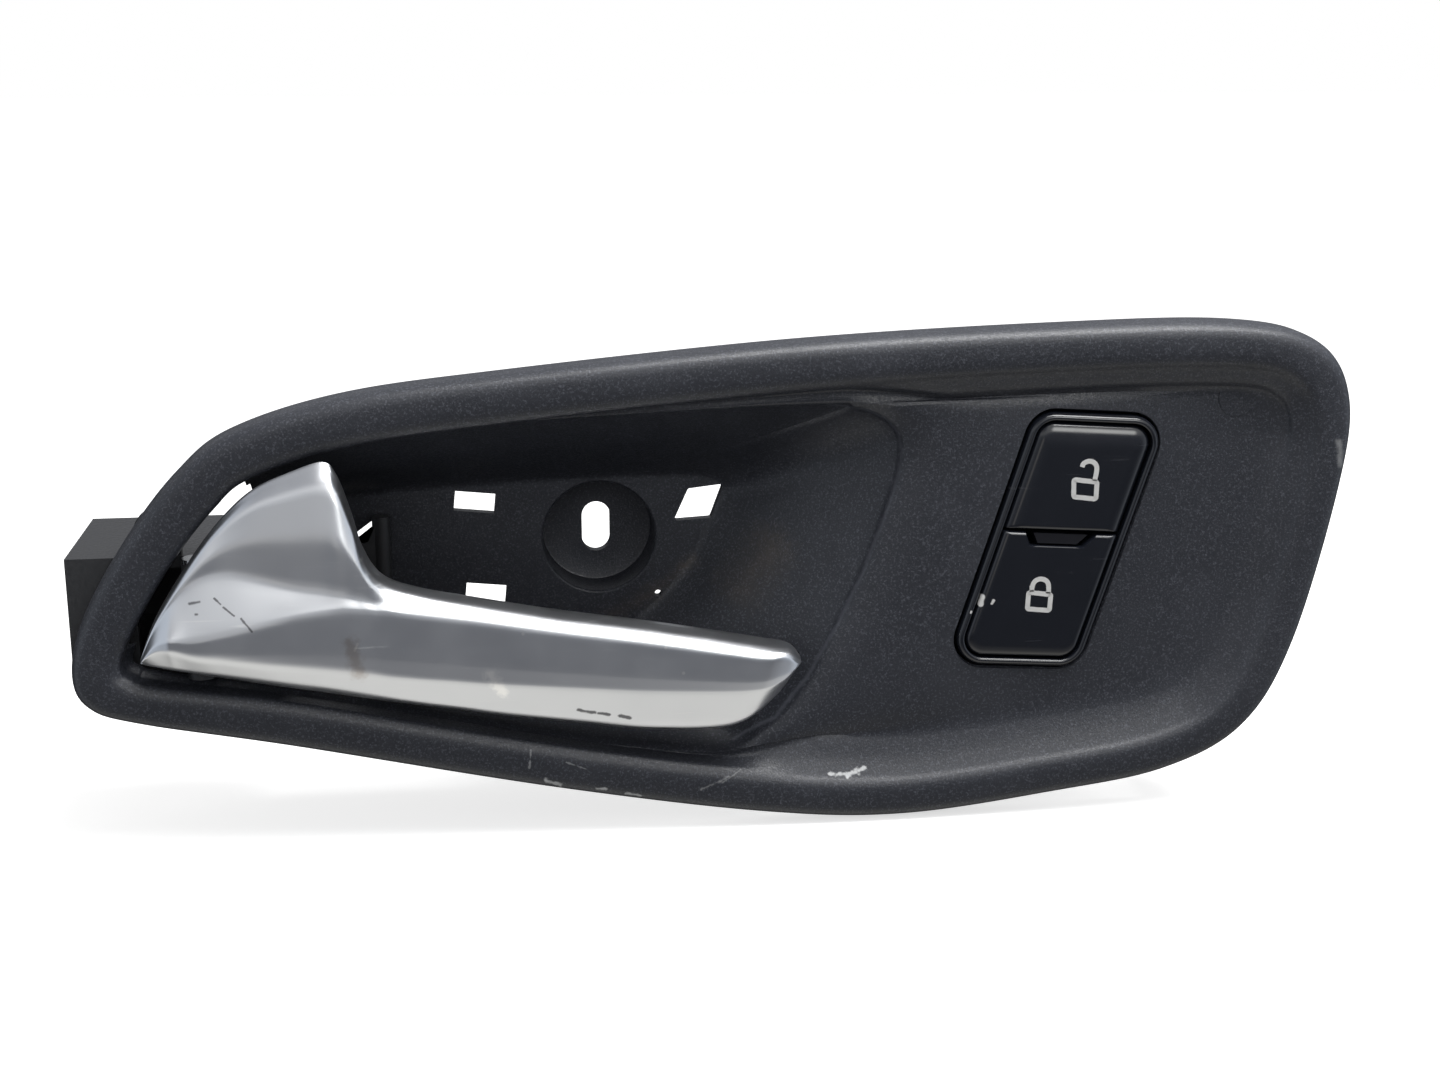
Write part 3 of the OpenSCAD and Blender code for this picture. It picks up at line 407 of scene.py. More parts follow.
def key_loop(low, high, d, top):
    """A key's outline moved inwards by d, more at its outer end, which has the large corners, than at the split."""
    w, r = SWITCH_W / 2 - RING_W - KEY_GAP - d, max(3.6 - d, 0.3)
    a, b = (0.3, 1.4) if top else (1.6, 0.4)
    radii = [r, r, .4, .4] if top else [.4, .4, r, r]
    low, high = low + a * d, high - b * d
    return rounded(switch_point([[-w, high], [w, high], [w, low], [-w, low]]), radii, 14)


def notch_loop(high, d):
    """Outline of the window's notch in the lower key, grown by d."""
    wide, narrow = WINDOW_W / 2 + 1.6 + d, WINDOW_W / 2 - .2 + d
    return rounded(switch_point([
        [-wide, high + 3], [-wide, high - .1], [-narrow, high - 2.6 - d], [narrow, high - 2.6 - d],
        [wide, high - .1], [wide, high + 3]]), [.3, .3, .6, .6, .3, .3], 8)


# The lever: its edges' depth, its crown's height, the shell's thickness, the knuckles, the screws, the drawn edges
EDGE_Y, CROWN_H, COVER_T = CREST_Y + 0.4, 6.4, 1.4
KNUCKLE_LOW, KNUCKLE_HIGH, KNUCKLE_LEN, KNUCKLE_R = -15.59, 1.2, 4.6, 3
LEVER_SCREWS = [(-56, 8), (-18, -16), (14, -21)]
TOP_EDGE = np.array([
    [-86.2, -12.4], [-83, -4.7], [-76.9, 4.9], [-71.1, 12.4], [-64.9, 18.1], [-57.8, 21.3], [-52, 23],
    [-49.6, 20.8], [-47.4, 14.5], [-45.4, 7], [-42, 1.6], [-35.5, -1.1], [-26, -3.2], [-10, -6.4],
    [8, -9.4], [27, -13.1], [33.6, -14.6], [36, -17.2]])
BOTTOM_EDGE = np.array([
    [-86, -13.8], [-82.5, -14.9], [-77, -16], [-71, -17.2], [-65, -18.4], [-59, -19.6], [-54, -20.5],
    [-49, -21.5], [-44.5, -22.4], [-40, -23.3], [-34.5, -24.3], [-28, -25.4], [-20, -26.9], [-6, -29],
    [8, -31], [23, -30.9], [31, -25.4], [36, -18.2]])
# Shares of the width at equal stations: the lower bevel's top, the crest, the slope's end above it, and its height
BEVEL = np.array([.5, .42, .22, .165, .14, .135, .133, .147, .176, .22, .274, .31, .34, .39, .44, .49, .45, .5])
CREST = np.array([.6, .58, .37, .33, .34, .377, .395, .437, .52, .653, .79, .845, .87, .88, .88, .87, .85, .6])
SLOPE = np.array([.8, .85, .82, .7, .57, .49, .46, .485, .56, .69, .83, .885, .91, .92, .92, .92, .92, .8])
SLOPE_H = np.array([.8, .6, .55, .5, .55, .66, .76, .85, .88, .9, .9, .88, .88, .88, .88, .88, .88, .8])


def lever_sections(t, paddle, across):
    """Shares p across the lever and heights there: polylines through nine knots (p, h), averaged over p +- e with
    weights 1 + cos, which makes their bends soft."""
    bevel, crest, slope, low = (along(q[:, None], t)[:, 0] for q in (BEVEL, CREST, SLOPE, SLOPE_H))
    arm, zero, one = 1 - paddle, np.zeros_like(t), np.ones_like(t)
    knots = np.stack([zero, 0.12 * bevel, bevel, mix(bevel, crest, 0.3), crest, slope, mix(slope, 1, 0.45),
                      mix(slope, 1, 0.86), one], 1)
    heights = np.stack([zero, 0.36 * one, 0.93 * one, 0.985 * one, one, low, low - 0.02 - 0.16 * arm,
                        (0.62 - 0.1 * arm) * low, zero], 1)
    pace = np.linspace(0, 8, across + 1)
    k = np.minimum(pace.astype(int), 7)
    p = mix(knots[:, k], knots[:, k + 1], pace - k)
    offsets = np.linspace(-1, 1, 33)[1:-1]
    weights = 1 + np.cos(np.pi * offsets)
    at = (p[:, :, None] + mix(0.036, 0.045, paddle)[:, None, None] * offsets)[..., None]
    run = np.diff(knots, axis=1)
    rise = (np.diff(heights, axis=1) / run)[:, None, None]
    level = (rise * np.clip(at - knots[:, None, None, :-1], 0, run[:, None, None])).sum(-1)
    return p, np.maximum((level * weights).sum(-1) / weights.sum(), 0)


def lever_rings(stations, across):
    """Closed rings of the shell and of its core. At station t the section stands at a + u p w across, w being the
    width from edge a to edge b, and h crown fullness forward. The shell's inner line lies its thickness in along the
    section's normal, and the core fills it and has a bevelled back."""
    t = np.linspace(0, 1, stations + 1)
    a, b = along(BOTTOM_EDGE, t), along(TOP_EDGE, t)
    w = np.linalg.norm(b - a, axis=1, keepdims=True)
    u = (b - a) / w
    paddle = ease(np.clip((0.66 - t) / 0.14, 0, 1))
    p, h = lever_sections(t, paddle, across)
    full = np.minimum(1, np.minimum(0.4 + 7 * t, 0.35 + 2.1 * np.sqrt(np.maximum(0, 1 - t))))[:, None]
    x, h = p * w, h * CROWN_H * full
    h[:, 0] = h[:, -1] = 0

    def placed(x, h):
        return np.stack([a[:, None, 0] + u[:, None, 0] * x, EDGE_Y - h, a[:, None, 1] + u[:, None, 1] * x], 2)

    lead = np.minimum(COVER_T, w / 3)
    dx, dh = np.gradient(x, axis=1), np.gradient(h, axis=1)
    n = np.maximum(np.hypot(dx, dh), 1e-6)
    inner_x = np.clip(x + lead * dh / n, lead, w - lead)
    inner_h = np.maximum(h - lead * dx / n, 0.01)
    inner_h[:, 0] = inner_h[:, -1] = 0
    inner = placed(inner_x, inner_h)
    shell = np.concatenate([placed(x, h), inner[:, ::-1]], axis=1)
    e = np.minimum(0.5, w / 6)
    deep = mix(3.6, 1.5, paddle)[:, None] * np.minimum(1, 0.3 + 5 * (1 - t))[:, None]
    foot = np.minimum(w / 4, deep / 2)
    back_x = np.hstack([w - e, w - e - 0.12 * deep, w - e - foot, e + foot, e + 0.12 * deep, e])
    back_h = np.hstack([0 * deep, -0.6 * deep, -deep, -deep, -0.6 * deep, 0 * deep])
    return shell, np.concatenate([inner, placed(back_x, back_h)], axis=1)


class Tree:
    """A node tree with short ways to add nodes. A value may be a number, a colour or another node's socket."""

    def __init__(self, tree):
        self.tree = tree

    def node(self, kind, **settings):
        n = self.tree.nodes.new(kind)
        for key, value in settings.items():
            setattr(n, key, value)
        return n

    def join(self, source, target):
        self.tree.links.new(source, target)

    def feed(self, socket, value):
        if isinstance(value, bpy.types.NodeSocket):
            self.join(value, socket)
        else:
            socket.default_value = value

    def math(self, operation, a, b=0.0, c=0.0, clamp=False):
        n = self.node("ShaderNodeMath", operation=operation, use_clamp=clamp)
        for socket, value in zip(n.inputs, (a, b, c)):
            self.feed(socket, value)
        return n.outputs[0]

    def vector(self, operation, a, b=(0, 0, 0)):
        n = self.node("ShaderNodeVectorMath", operation=operation)
        self.feed(n.inputs[0], a)
        self.feed(n.inputs[1], b)
        return n.outputs["Value"] if operation in ("LENGTH", "DOT_PRODUCT", "DISTANCE") else n.outputs["Vector"]

    def blend(self, factor, a, b):
        """Colour a where factor is 0, b where it is 1."""
        n = self.node("ShaderNodeMix", data_type="RGBA")
        self.feed(n.inputs["Factor"], factor)
        self.feed(n.inputs[6], a)
        self.feed(n.inputs[7], b)
        return n.outputs[2]

    def noise(self, where, scale, detail=2.0, roughness=0.5):
        n = self.node("ShaderNodeTexNoise")
        self.join(where, n.inputs["Vector"])
        n.inputs["Scale"].default_value = scale
        n.inputs["Detail"].default_value = detail
        n.inputs["Roughness"].default_value = roughness
        return n.outputs["Fac"]

    def step(self, value, low, high, to_low=0.0, to_high=1.0):
        """Goes smoothly from to_low, where value is low, to to_high, where it is high."""
        n = self.node("ShaderNodeMapRange", interpolation_type="SMOOTHSTEP")
        self.feed(n.inputs["Value"], value)
        for name, v in (("From Min", low), ("From Max", high), ("To Min", to_low), ("To Max", to_high)):
            self.feed(n.inputs[name], v)
        return n.outputs["Result"]


def new_group(name, inputs, outputs):
    """An empty node group with its sockets, as (group, helper, input node, output node)."""
    g = bpy.data.node_groups.new(name, "ShaderNodeTree")
    kinds = {"f": "NodeSocketFloat", "v": "NodeSocketVector", "c": "NodeSocketColor"}
    for label, kind, value in inputs:
        s = g.interface.new_socket(label, in_out="INPUT", socket_type=kinds[kind])
        if value is not None:
            s.default_value = value
    for label, kind in outputs:
        g.interface.new_socket(label, in_out="OUTPUT", socket_type=kinds[kind])
    t = Tree(g)
    return g, t, t.node("NodeGroupInput"), t.node("NodeGroupOutput")


def mark_group():
    """Mask of a stroke from A to B: 1 within Radius of the segment in X and Z, broken by noise, on forward faces."""
    g, t, i, o = new_group("stroke_mask", [
        ("A", "v", (0, 0, 0)), ("B", "v", (0, 0, 0)), ("Radius", "f", 0.001), ("Soft", "f", 0.0003),
        ("Ragged", "f", 0.0)], [("Mask", "f")])
    where = t.node("ShaderNodeTexCoord").outputs["Object"]
    ragged = t.math("MULTIPLY", t.math("SUBTRACT", t.noise(where, 900.0, 3.0), 0.5), i.outputs["Ragged"])
    flat = t.vector("MULTIPLY", where, (1, 0, 1))
    pa = t.vector("SUBTRACT", flat, i.outputs["A"])
    ba = t.vector("SUBTRACT", i.outputs["B"], i.outputs["A"])
    square = t.math("MAXIMUM", t.vector("DOT_PRODUCT", ba, ba), 1e-12)
    h = t.math("DIVIDE", t.vector("DOT_PRODUCT", pa, ba), square, clamp=True)
    scaled = t.node("ShaderNodeVectorMath", operation="SCALE")
    t.join(ba, scaled.inputs[0])
    t.join(h, scaled.inputs["Scale"])
    d = t.math("ADD", t.vector("LENGTH", t.vector("SUBTRACT", pa, scaled.outputs["Vector"])), ragged)
    low = t.math("SUBTRACT", i.outputs["Radius"], i.outputs["Soft"])
    high = t.math("ADD", i.outputs["Radius"], i.outputs["Soft"])
    mask = t.step(d, low, high, 1.0, 0.0)
    facing = t.node("ShaderNodeSeparateXYZ")
    t.join(t.node("ShaderNodeNewGeometry").outputs["Normal"], facing.inputs[0])
    front = t.step(facing.outputs["Y"], -0.05, -0.3)
    t.join(t.math("MULTIPLY", mask, front), o.inputs["Mask"])
    return g


def grain_group():
    """Moulded grain: height from fine noise, flecks where a second noise passes a threshold, and wide patches."""
    g, t, i, o = new_group(
        "moulded_grain", [("Size", "f", 0.0005)], [("Height", "f"), ("Flecks", "f"), ("Patches", "f")])
    where = t.node("ShaderNodeTexCoord").outputs["Object"]
    scale = t.node("ShaderNodeVectorMath", operation="SCALE")
    t.join(where, scale.inputs[0])
    t.join(t.math("DIVIDE", 1.0, i.outputs["Size"]), scale.inputs["Scale"])
    fine = t.noise(scale.outputs["Vector"], 1.0, 2.0, 0.6)
    coarse = t.noise(scale.outputs["Vector"], 0.55, 1.0)
    t.join(t.math("ADD", t.math("MULTIPLY", fine, 0.7), t.math("MULTIPLY", coarse, 0.3)), o.inputs["Height"])
    t.join(t.step(t.noise(scale.outputs["Vector"], 0.8, 2.0, 0.7), 0.5, 0.7), o.inputs["Flecks"])
    t.join(t.noise(where, 35.0, 4.0, 0.6), o.inputs["Patches"])
    return g


def scuff_group():
    """Fine hairline scratches: noise stretched along one direction, kept only at its peaks."""
    g, t, i, o = new_group("hairlines", [("Amount", "f", 1.0)], [("Mask", "f"), ("Cloud", "f")])
    where = t.node("ShaderNodeTexCoord").outputs["Object"]
    parts = []
    for turn, stretch in ((0.5, 26.0), (-0.35, 18.0), (1.1, 22.0)):
        m = t.node("ShaderNodeMapping")
        t.join(where, m.inputs["Vector"])
        m.inputs["Rotation"].default_value = (0, turn, 0)
        m.inputs["Scale"].default_value = (60, 60, 60 * stretch)
        parts.append(t.step(t.noise(m.outputs["Vector"], 1.0, 1.0), 0.70, 0.80))
    total = t.math("MAXIMUM", t.math("MAXIMUM", parts[0], parts[1]), parts[2])
    cloud = t.noise(where, 120.0, 5.0, 0.65)
    mask = t.math("MULTIPLY", t.math("MULTIPLY", total, i.outputs["Amount"]), t.step(cloud, 0.4, 0.7))
    t.join(mask, o.inputs["Mask"])
    t.join(cloud, o.inputs["Cloud"])
    return g


GROUPS = {}


def group_node(tree, name, maker):
    """A node that holds the named group, which is made once."""
    if name not in GROUPS:
        GROUPS[name] = maker()
    n = tree.node("ShaderNodeGroup")
    n.node_tree = GROUPS[name]
    return n


def marks(tree, strokes):
    """Largest of several stroke masks. Each stroke is x0, z0, x1, z1, radius, soft, ragged in mm."""
    total = None
    for x0, z0, x1, z1, radius, soft, ragged in strokes:
        n = group_node(tree, "stroke", mark_group)
        n.inputs["A"].default_value = (x0 * MM, 0, z0 * MM)
        n.inputs["B"].default_value = (x1 * MM, 0, z1 * MM)
        for label, value in (("Radius", radius), ("Soft", soft), ("Ragged", ragged)):
            n.inputs[label].default_value = value * MM
        total = n.outputs[0] if total is None else tree.math("MAXIMUM", total, n.outputs[0])
    return total


def new_material(name, colour, roughness, metallic=0.0, coat=0.0):
    """A material, its node tree and its shader, with the values that are the same all over."""
    m = bpy.data.materials.new(name)
    m.use_nodes = True
    t = Tree(m.node_tree)
    shader = next(n for n in m.node_tree.nodes if n.type == "BSDF_PRINCIPLED")
    shader.inputs["Base Color"].default_value = (*colour, 1)
    shader.inputs["Roughness"].default_value = roughness
    shader.inputs["Metallic"].default_value = metallic
    shader.inputs["Coat Weight"].default_value = coat
    m.diffuse_color = (*colour, 1)
    return m, t, shader


def bump(tree, shader, height, distance, strength=1.0):
    """Feeds a height to the shader's normal."""
    b = tree.node("ShaderNodeBump")
    b.inputs["Strength"].default_value = strength
    b.inputs["Distance"].default_value = distance
    tree.join(height, b.inputs["Height"])
    tree.join(b.outputs["Normal"], shader.inputs["Normal"])


# Wear seen in the photo: x0, z0, x1, z1, radius, soft edge, raggedness in mm
CHIPS = [
    (-13, -40.4, -10.2, -41.5, .35, .25, 1.4), (-3.2, -42.6, -1.5, -42.7, .25, .2, .9),
    (2.4, -43.9, 5.2, -44.5, .25, .2, .9), (42.3, -42.4, 45.8, -42.5, .22, .2, 1.6),
    (46.0, -42.6, 49.2, -41.8, .45, .2, 1.8)]
FINE_SCRATCHES = [
    (16.9, -43.6, 20.0, -42.4, .14, .2, 1.4), (19.0, -42.9, 22.4, -41.4, .16, .2, 1.4),
    (21.2, -42.4, 24.8, -40.4, .1, .15, .8), (-15.6, -34.1, -16, -37.6, .1, .12, .8),
    (-9, -36.8, -5, -38.4, .06, .1, .8), (141.4, 21.5, 142.1, 17.2, .5, .6, 1.6)]
DIRT = [
    (0.5, -17.5, 11.6, -11.7, 1.2, 2.2, 4.0), (11.6, -11.7, 18.8, -5.2, .7, 1.6, 3.0),
    (27, -9, 33, -1, 2.5, 4.5, 5.0)]
SCRATCHES = [
    (-76.4, -1.5, -74.6, -1.2, .2, .15, .4), (-72.0, -.7, -70.9, -1.7, .15, .1, .4),
    (-70.4, -2.3, -68.6, -3.8, .17, .1, .5), (-67.3, -4.3, -65.5, -6.6, .16, .12, .5),
    (-75.4, -3.4, -75.1, -3.4, .2, .15, .3)]
PALE_MARKS = [
    (-22.9, -16.8, -20.6, -20.6, .9, .8, 2.5), (-16.7, -9.0, -16.7, -9.0, .3, .15, .2),
    (9.7, -12.8, 9.7, -12.8, .3, .15, .2), (13, -17.9, 13, -17.9, .3, .15, .2),
    (-45.6, 5.6, -45.6, 5.6, .35, .15, .2), (-46.8, -9.7, -47.4, -11.0, .2, .1, .3)]
DARK_MARKS = [
    (-6.7, -25.2, -3.4, -26.0, .3, .2, .7), (-2.9, -26.1, -.8, -26.5, .3, .2, .7),
    (1.2, -26.8, 3.2, -27.4, .35, .2, .8)]
BROWN_MARKS = [(-48.1, -9.7, -46.8, -15.7, 1.1, 1.0, 2.5)]
PAINT_SPECKS = [
    (72.4, -7.7, 72.0, -9.3, .42, .12, .5), (74.5, -8.5, 74.2, -9.1, .26, .1, .3),
    (70.2, -10.6, 70.1, -10.9, .16, .1, .2)]


def highlit_worn_crease_strokes():
    """Strokes along the cup's right edge: a painted highlight where the crease catches the light, with some real wear
    of the grain.
    """
    line = along(CUP_EDGE_RIGHT, np.linspace(0.04, 0.96, 13))
    return [(*a, *b, .2, .25, .3) for a, b in zip(line[:-1], line[1:])]


def grained_black(p):
    """The bezel's plastic: grain with worn flecks, a painted highlight with some wear along the cup's edge, dust,
    scratches and chips.
    """
    m, t, s = new_material("grained_black", p.plastic, 0.5)
    grain = group_node(t, "grain", grain_group)
    grain.inputs["Size"].default_value = p.grain_size
    flecked = t.blend(t.math("MULTIPLY", grain.outputs["Flecks"], 0.8), (*p.plastic, 1), (*p.flecks, 1))
    clouded = t.blend(t.step(grain.outputs["Patches"], 0.45, 0.75, 0.0, 0.14), flecked, (*p.flecks, 1))
    # Painted highlight, partly real wear: strokes along the cup's right edge take the fleck colour
    clouded = t.blend(t.math("MULTIPLY", marks(t, highlit_worn_crease_strokes()), 0.8), clouded, (*p.flecks, 1))
    dusty = t.step(grain.outputs["Patches"], 0.35, 0.7, 0.05, 0.3)
    dirty = t.blend(t.math("MULTIPLY", marks(t, DIRT), dusty), clouded, (*p.dirt, 1))
    scratched = t.blend(t.math("MULTIPLY", marks(t, FINE_SCRATCHES), 0.35), dirty, (*p.chips, 1))
    chipped = t.blend(marks(t, CHIPS), scratched, (*p.chips, 1))
    t.join(chipped, s.inputs["Base Color"])
    t.join(t.step(grain.outputs["Height"], 0.35, 0.6, 0.55, 0.36), s.inputs["Roughness"])
    bump(t, s, grain.outputs["Height"], p.grain_depth)
    return m


def satin_chrome(p):
    """The lever's plating: fine hairlines, and the scratches and the pale, dark and brown marks of the photo."""
    m, t, s = new_material("satin_chrome", p.metal, p.gloss, metallic=1.0)
    hair = group_node(t, "hairlines", scuff_group)
    hair.inputs["Amount"].default_value = p.wear
    base = t.blend(t.math("MULTIPLY", hair.outputs["Mask"], 0.5), (*p.metal, 1), (0.9, 0.9, 0.9, 1))
    for strokes, share, colour in (
            (SCRATCHES, 0.9, (0.16, 0.16, 0.17)), (PALE_MARKS, 0.8, (0.95, 0.95, 0.94)),
            (DARK_MARKS, 0.85, (0.05, 0.05, 0.055)), (BROWN_MARKS, 0.45, (0.34, 0.27, 0.22))):
        base = t.blend(t.math("MULTIPLY", marks(t, strokes), share), base, (*colour, 1))
    t.join(base, s.inputs["Base Color"])
    rough = t.step(hair.outputs["Cloud"], 0.3, 0.75, p.gloss - 0.01, p.gloss + 0.03)
    t.join(t.math("ADD", rough, t.math("MULTIPLY", hair.outputs["Mask"], 0.15)), s.inputs["Roughness"])
    return m


def gloss_black(p):
    """The keys' plastic: gloss black with faint hairlines and a few specks of paint."""
    m, t, s = new_material("gloss_black", p.gloss_colour, 0.16, coat=0.3)
    s.inputs["Coat Roughness"].default_value = 0.05
    hair = group_node(t, "hairlines", scuff_group)
    hair.inputs["Amount"].default_value = 0.6
    base = t.blend(t.math("MULTIPLY", hair.outputs["Mask"], 0.12), (*p.gloss_colour, 1), (0.3, 0.3, 0.32, 1))
    t.join(t.blend(marks(t, PAINT_SPECKS), base, (0.75, 0.75, 0.74, 1)), s.inputs["Base Color"])
    t.join(t.step(hair.outputs["Cloud"], 0.3, 0.75, 0.13, 0.22), s.inputs["Roughness"])
    return m


# name: colour, roughness, metallic, noise scale, noise depth in the roughness
PLAIN = {
    "black_plastic": ((0.03, 0.031, 0.034), 0.45, 0.0, 1400, 0.12),
    "smoked_lens": ((0.016, 0.016, 0.02), 0.12, 0.0, 300, 0.04),
    "screw_steel": ((0.55, 0.56, 0.58), 0.32, 1.0, 1800, 0.15),
    "pin_steel": ((0.62, 0.63, 0.64), 0.22, 1.0, 1200, 0.1),
    "spring_steel": ((0.42, 0.42, 0.44), 0.35, 1.0, 1500, 0.12),
    "natural_nylon": ((0.75, 0.73, 0.66), 0.5, 0.0, 900, 0.1),
    "bumper_rubber": ((0.02, 0.02, 0.02), 0.75, 0.0, 2000, 0.1),
    "board_green": ((0.04, 0.2, 0.09), 0.35, 0.0, 700, 0.1),
    "dome_silicone": ((0.7, 0.7, 0.66), 0.55, 0.0, 900, 0.1),
    "lamp_amber": ((0.8, 0.6, 0.2), 0.15, 0.0, 500, 0.04),
    "contact_brass": ((0.75, 0.6, 0.3), 0.28, 1.0, 1600, 0.12),
    "sign_white": ((0.78, 0.78, 0.77), 0.5, 0.0, 1500, 0.1),
}


def plain_material(name):
    """A plain surface whose colour and roughness shift a little with fine noise."""
    colour, rough, metallic, scale, depth = PLAIN[name]
    m, t, s = new_material(name, colour, rough, metallic)
    n = t.noise(t.node("ShaderNodeTexCoord").outputs["Object"], float(scale), 3.0)
    t.join(t.step(n, 0.2, 0.8, max(rough - depth, 0.05), min(rough + depth, 1.0)), s.inputs["Roughness"])
    darker = tuple(c * 0.82 for c in colour)
    t.join(t.blend(n, (*darker, 1), (*colour, 1)), s.inputs["Base Color"])
    return m


def material(name):
    """The named material, made once. One that came with the frame under this name gives the name up."""
    if name in bpy.data.materials and bpy.data.materials[name].get("dressed"):
        return bpy.data.materials[name]
    old = bpy.data.materials.get(name)
    if old:
        old.name = name + "_frame"
    scene = bpy.context.scene
    special = {
        "grained_black": lambda: grained_black(scene.handle_bezel),
        "satin_chrome": lambda: satin_chrome(scene.handle_lever),
        "gloss_black": lambda: gloss_black(scene.handle_switch)}
    m = special[name]() if name in special else plain_material(name)
    m.name = name
    m["dressed"] = True
    return m


def dress(obj, slot, body):
    """Gives a piece its material and its slot, and lets it ride on a body."""
    obj.data.materials.clear()
    obj.data.materials.append(material(slot))
    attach(obj, body)


def colour_setting(name, description, default):
    """A colour that the panel can change."""
    return FloatVectorProperty(
        name=name, description=description, subtype="COLOR", size=3, default=default, min=0, max=1)


class HandleBezelProps(bpy.types.PropertyGroup):
    plastic: colour_setting("Plastic", "Colour of the moulded bezel", (0.022, 0.024, 0.031))
    # The fleck colour also paints the highlight along the cup's right edge
    flecks: colour_setting("Flecks", "Colour of the worn tops of the grain", (0.085, 0.09, 0.108))
    dirt: colour_setting("Dirt", "Colour of the dust in the cup", (0.20, 0.155, 0.11))
    chips: colour_setting("Chips", "Colour of the chips on the lower rim", (0.55, 0.56, 0.57))
    grain_size: FloatProperty(name="Grain size", description="Width of one grain of the moulded surface",
                              unit="LENGTH", default=0.00034, min=0.0001, max=0.003)
    grain_depth: FloatProperty(name="Grain depth", description="Depth of the moulded grain", unit="LENGTH",
                               default=0.00006, min=0, max=0.001)


class HandleLeverProps(bpy.types.PropertyGroup):
    metal: colour_setting("Metal", "Colour of the chrome plate", (0.70, 0.715, 0.74))
    gloss: FloatProperty(name="Roughness", description="Roughness of the chrome plate", subtype="FACTOR",
                         default=0.3, min=0, max=1)
    wear: FloatProperty(name="Wear", description="Strength of the hairline scratches", subtype="FACTOR",
                        default=0.7, min=0, max=1)
    stations: IntProperty(name="Stations", description="Sections along the lever", default=240, min=36, max=600)
    across: IntProperty(name="Across", description="Points across one section", default=64, min=13, max=200)


class HandleSwitchProps(bpy.types.PropertyGroup):
    gloss_colour: colour_setting("Keys", "Colour of the keys and their frame", (0.009, 0.0105, 0.0155))
    stroke: FloatProperty(name="Sign stroke", description="Width of the padlock signs' lines", unit="LENGTH",
                          default=0.00095, min=0.0002, max=0.002)


class HandleStageProps(bpy.types.PropertyGroup):
    floor: colour_setting("Floor", "Colour of the floor", (0.86, 0.86, 0.86))
    key_light: FloatProperty(name="Softbox", description="Power of the overhead softbox", unit="POWER",
                             default=5.0, min=0, max=100)
    fill_light: FloatProperty(name="Fill", description="Power of the front fill", unit="POWER",
                              default=0.5, min=0, max=100)
    ambient: FloatProperty(name="Ambient", description="Level of the surrounding light", subtype="FACTOR",
                           default=0.5, min=0, max=2)


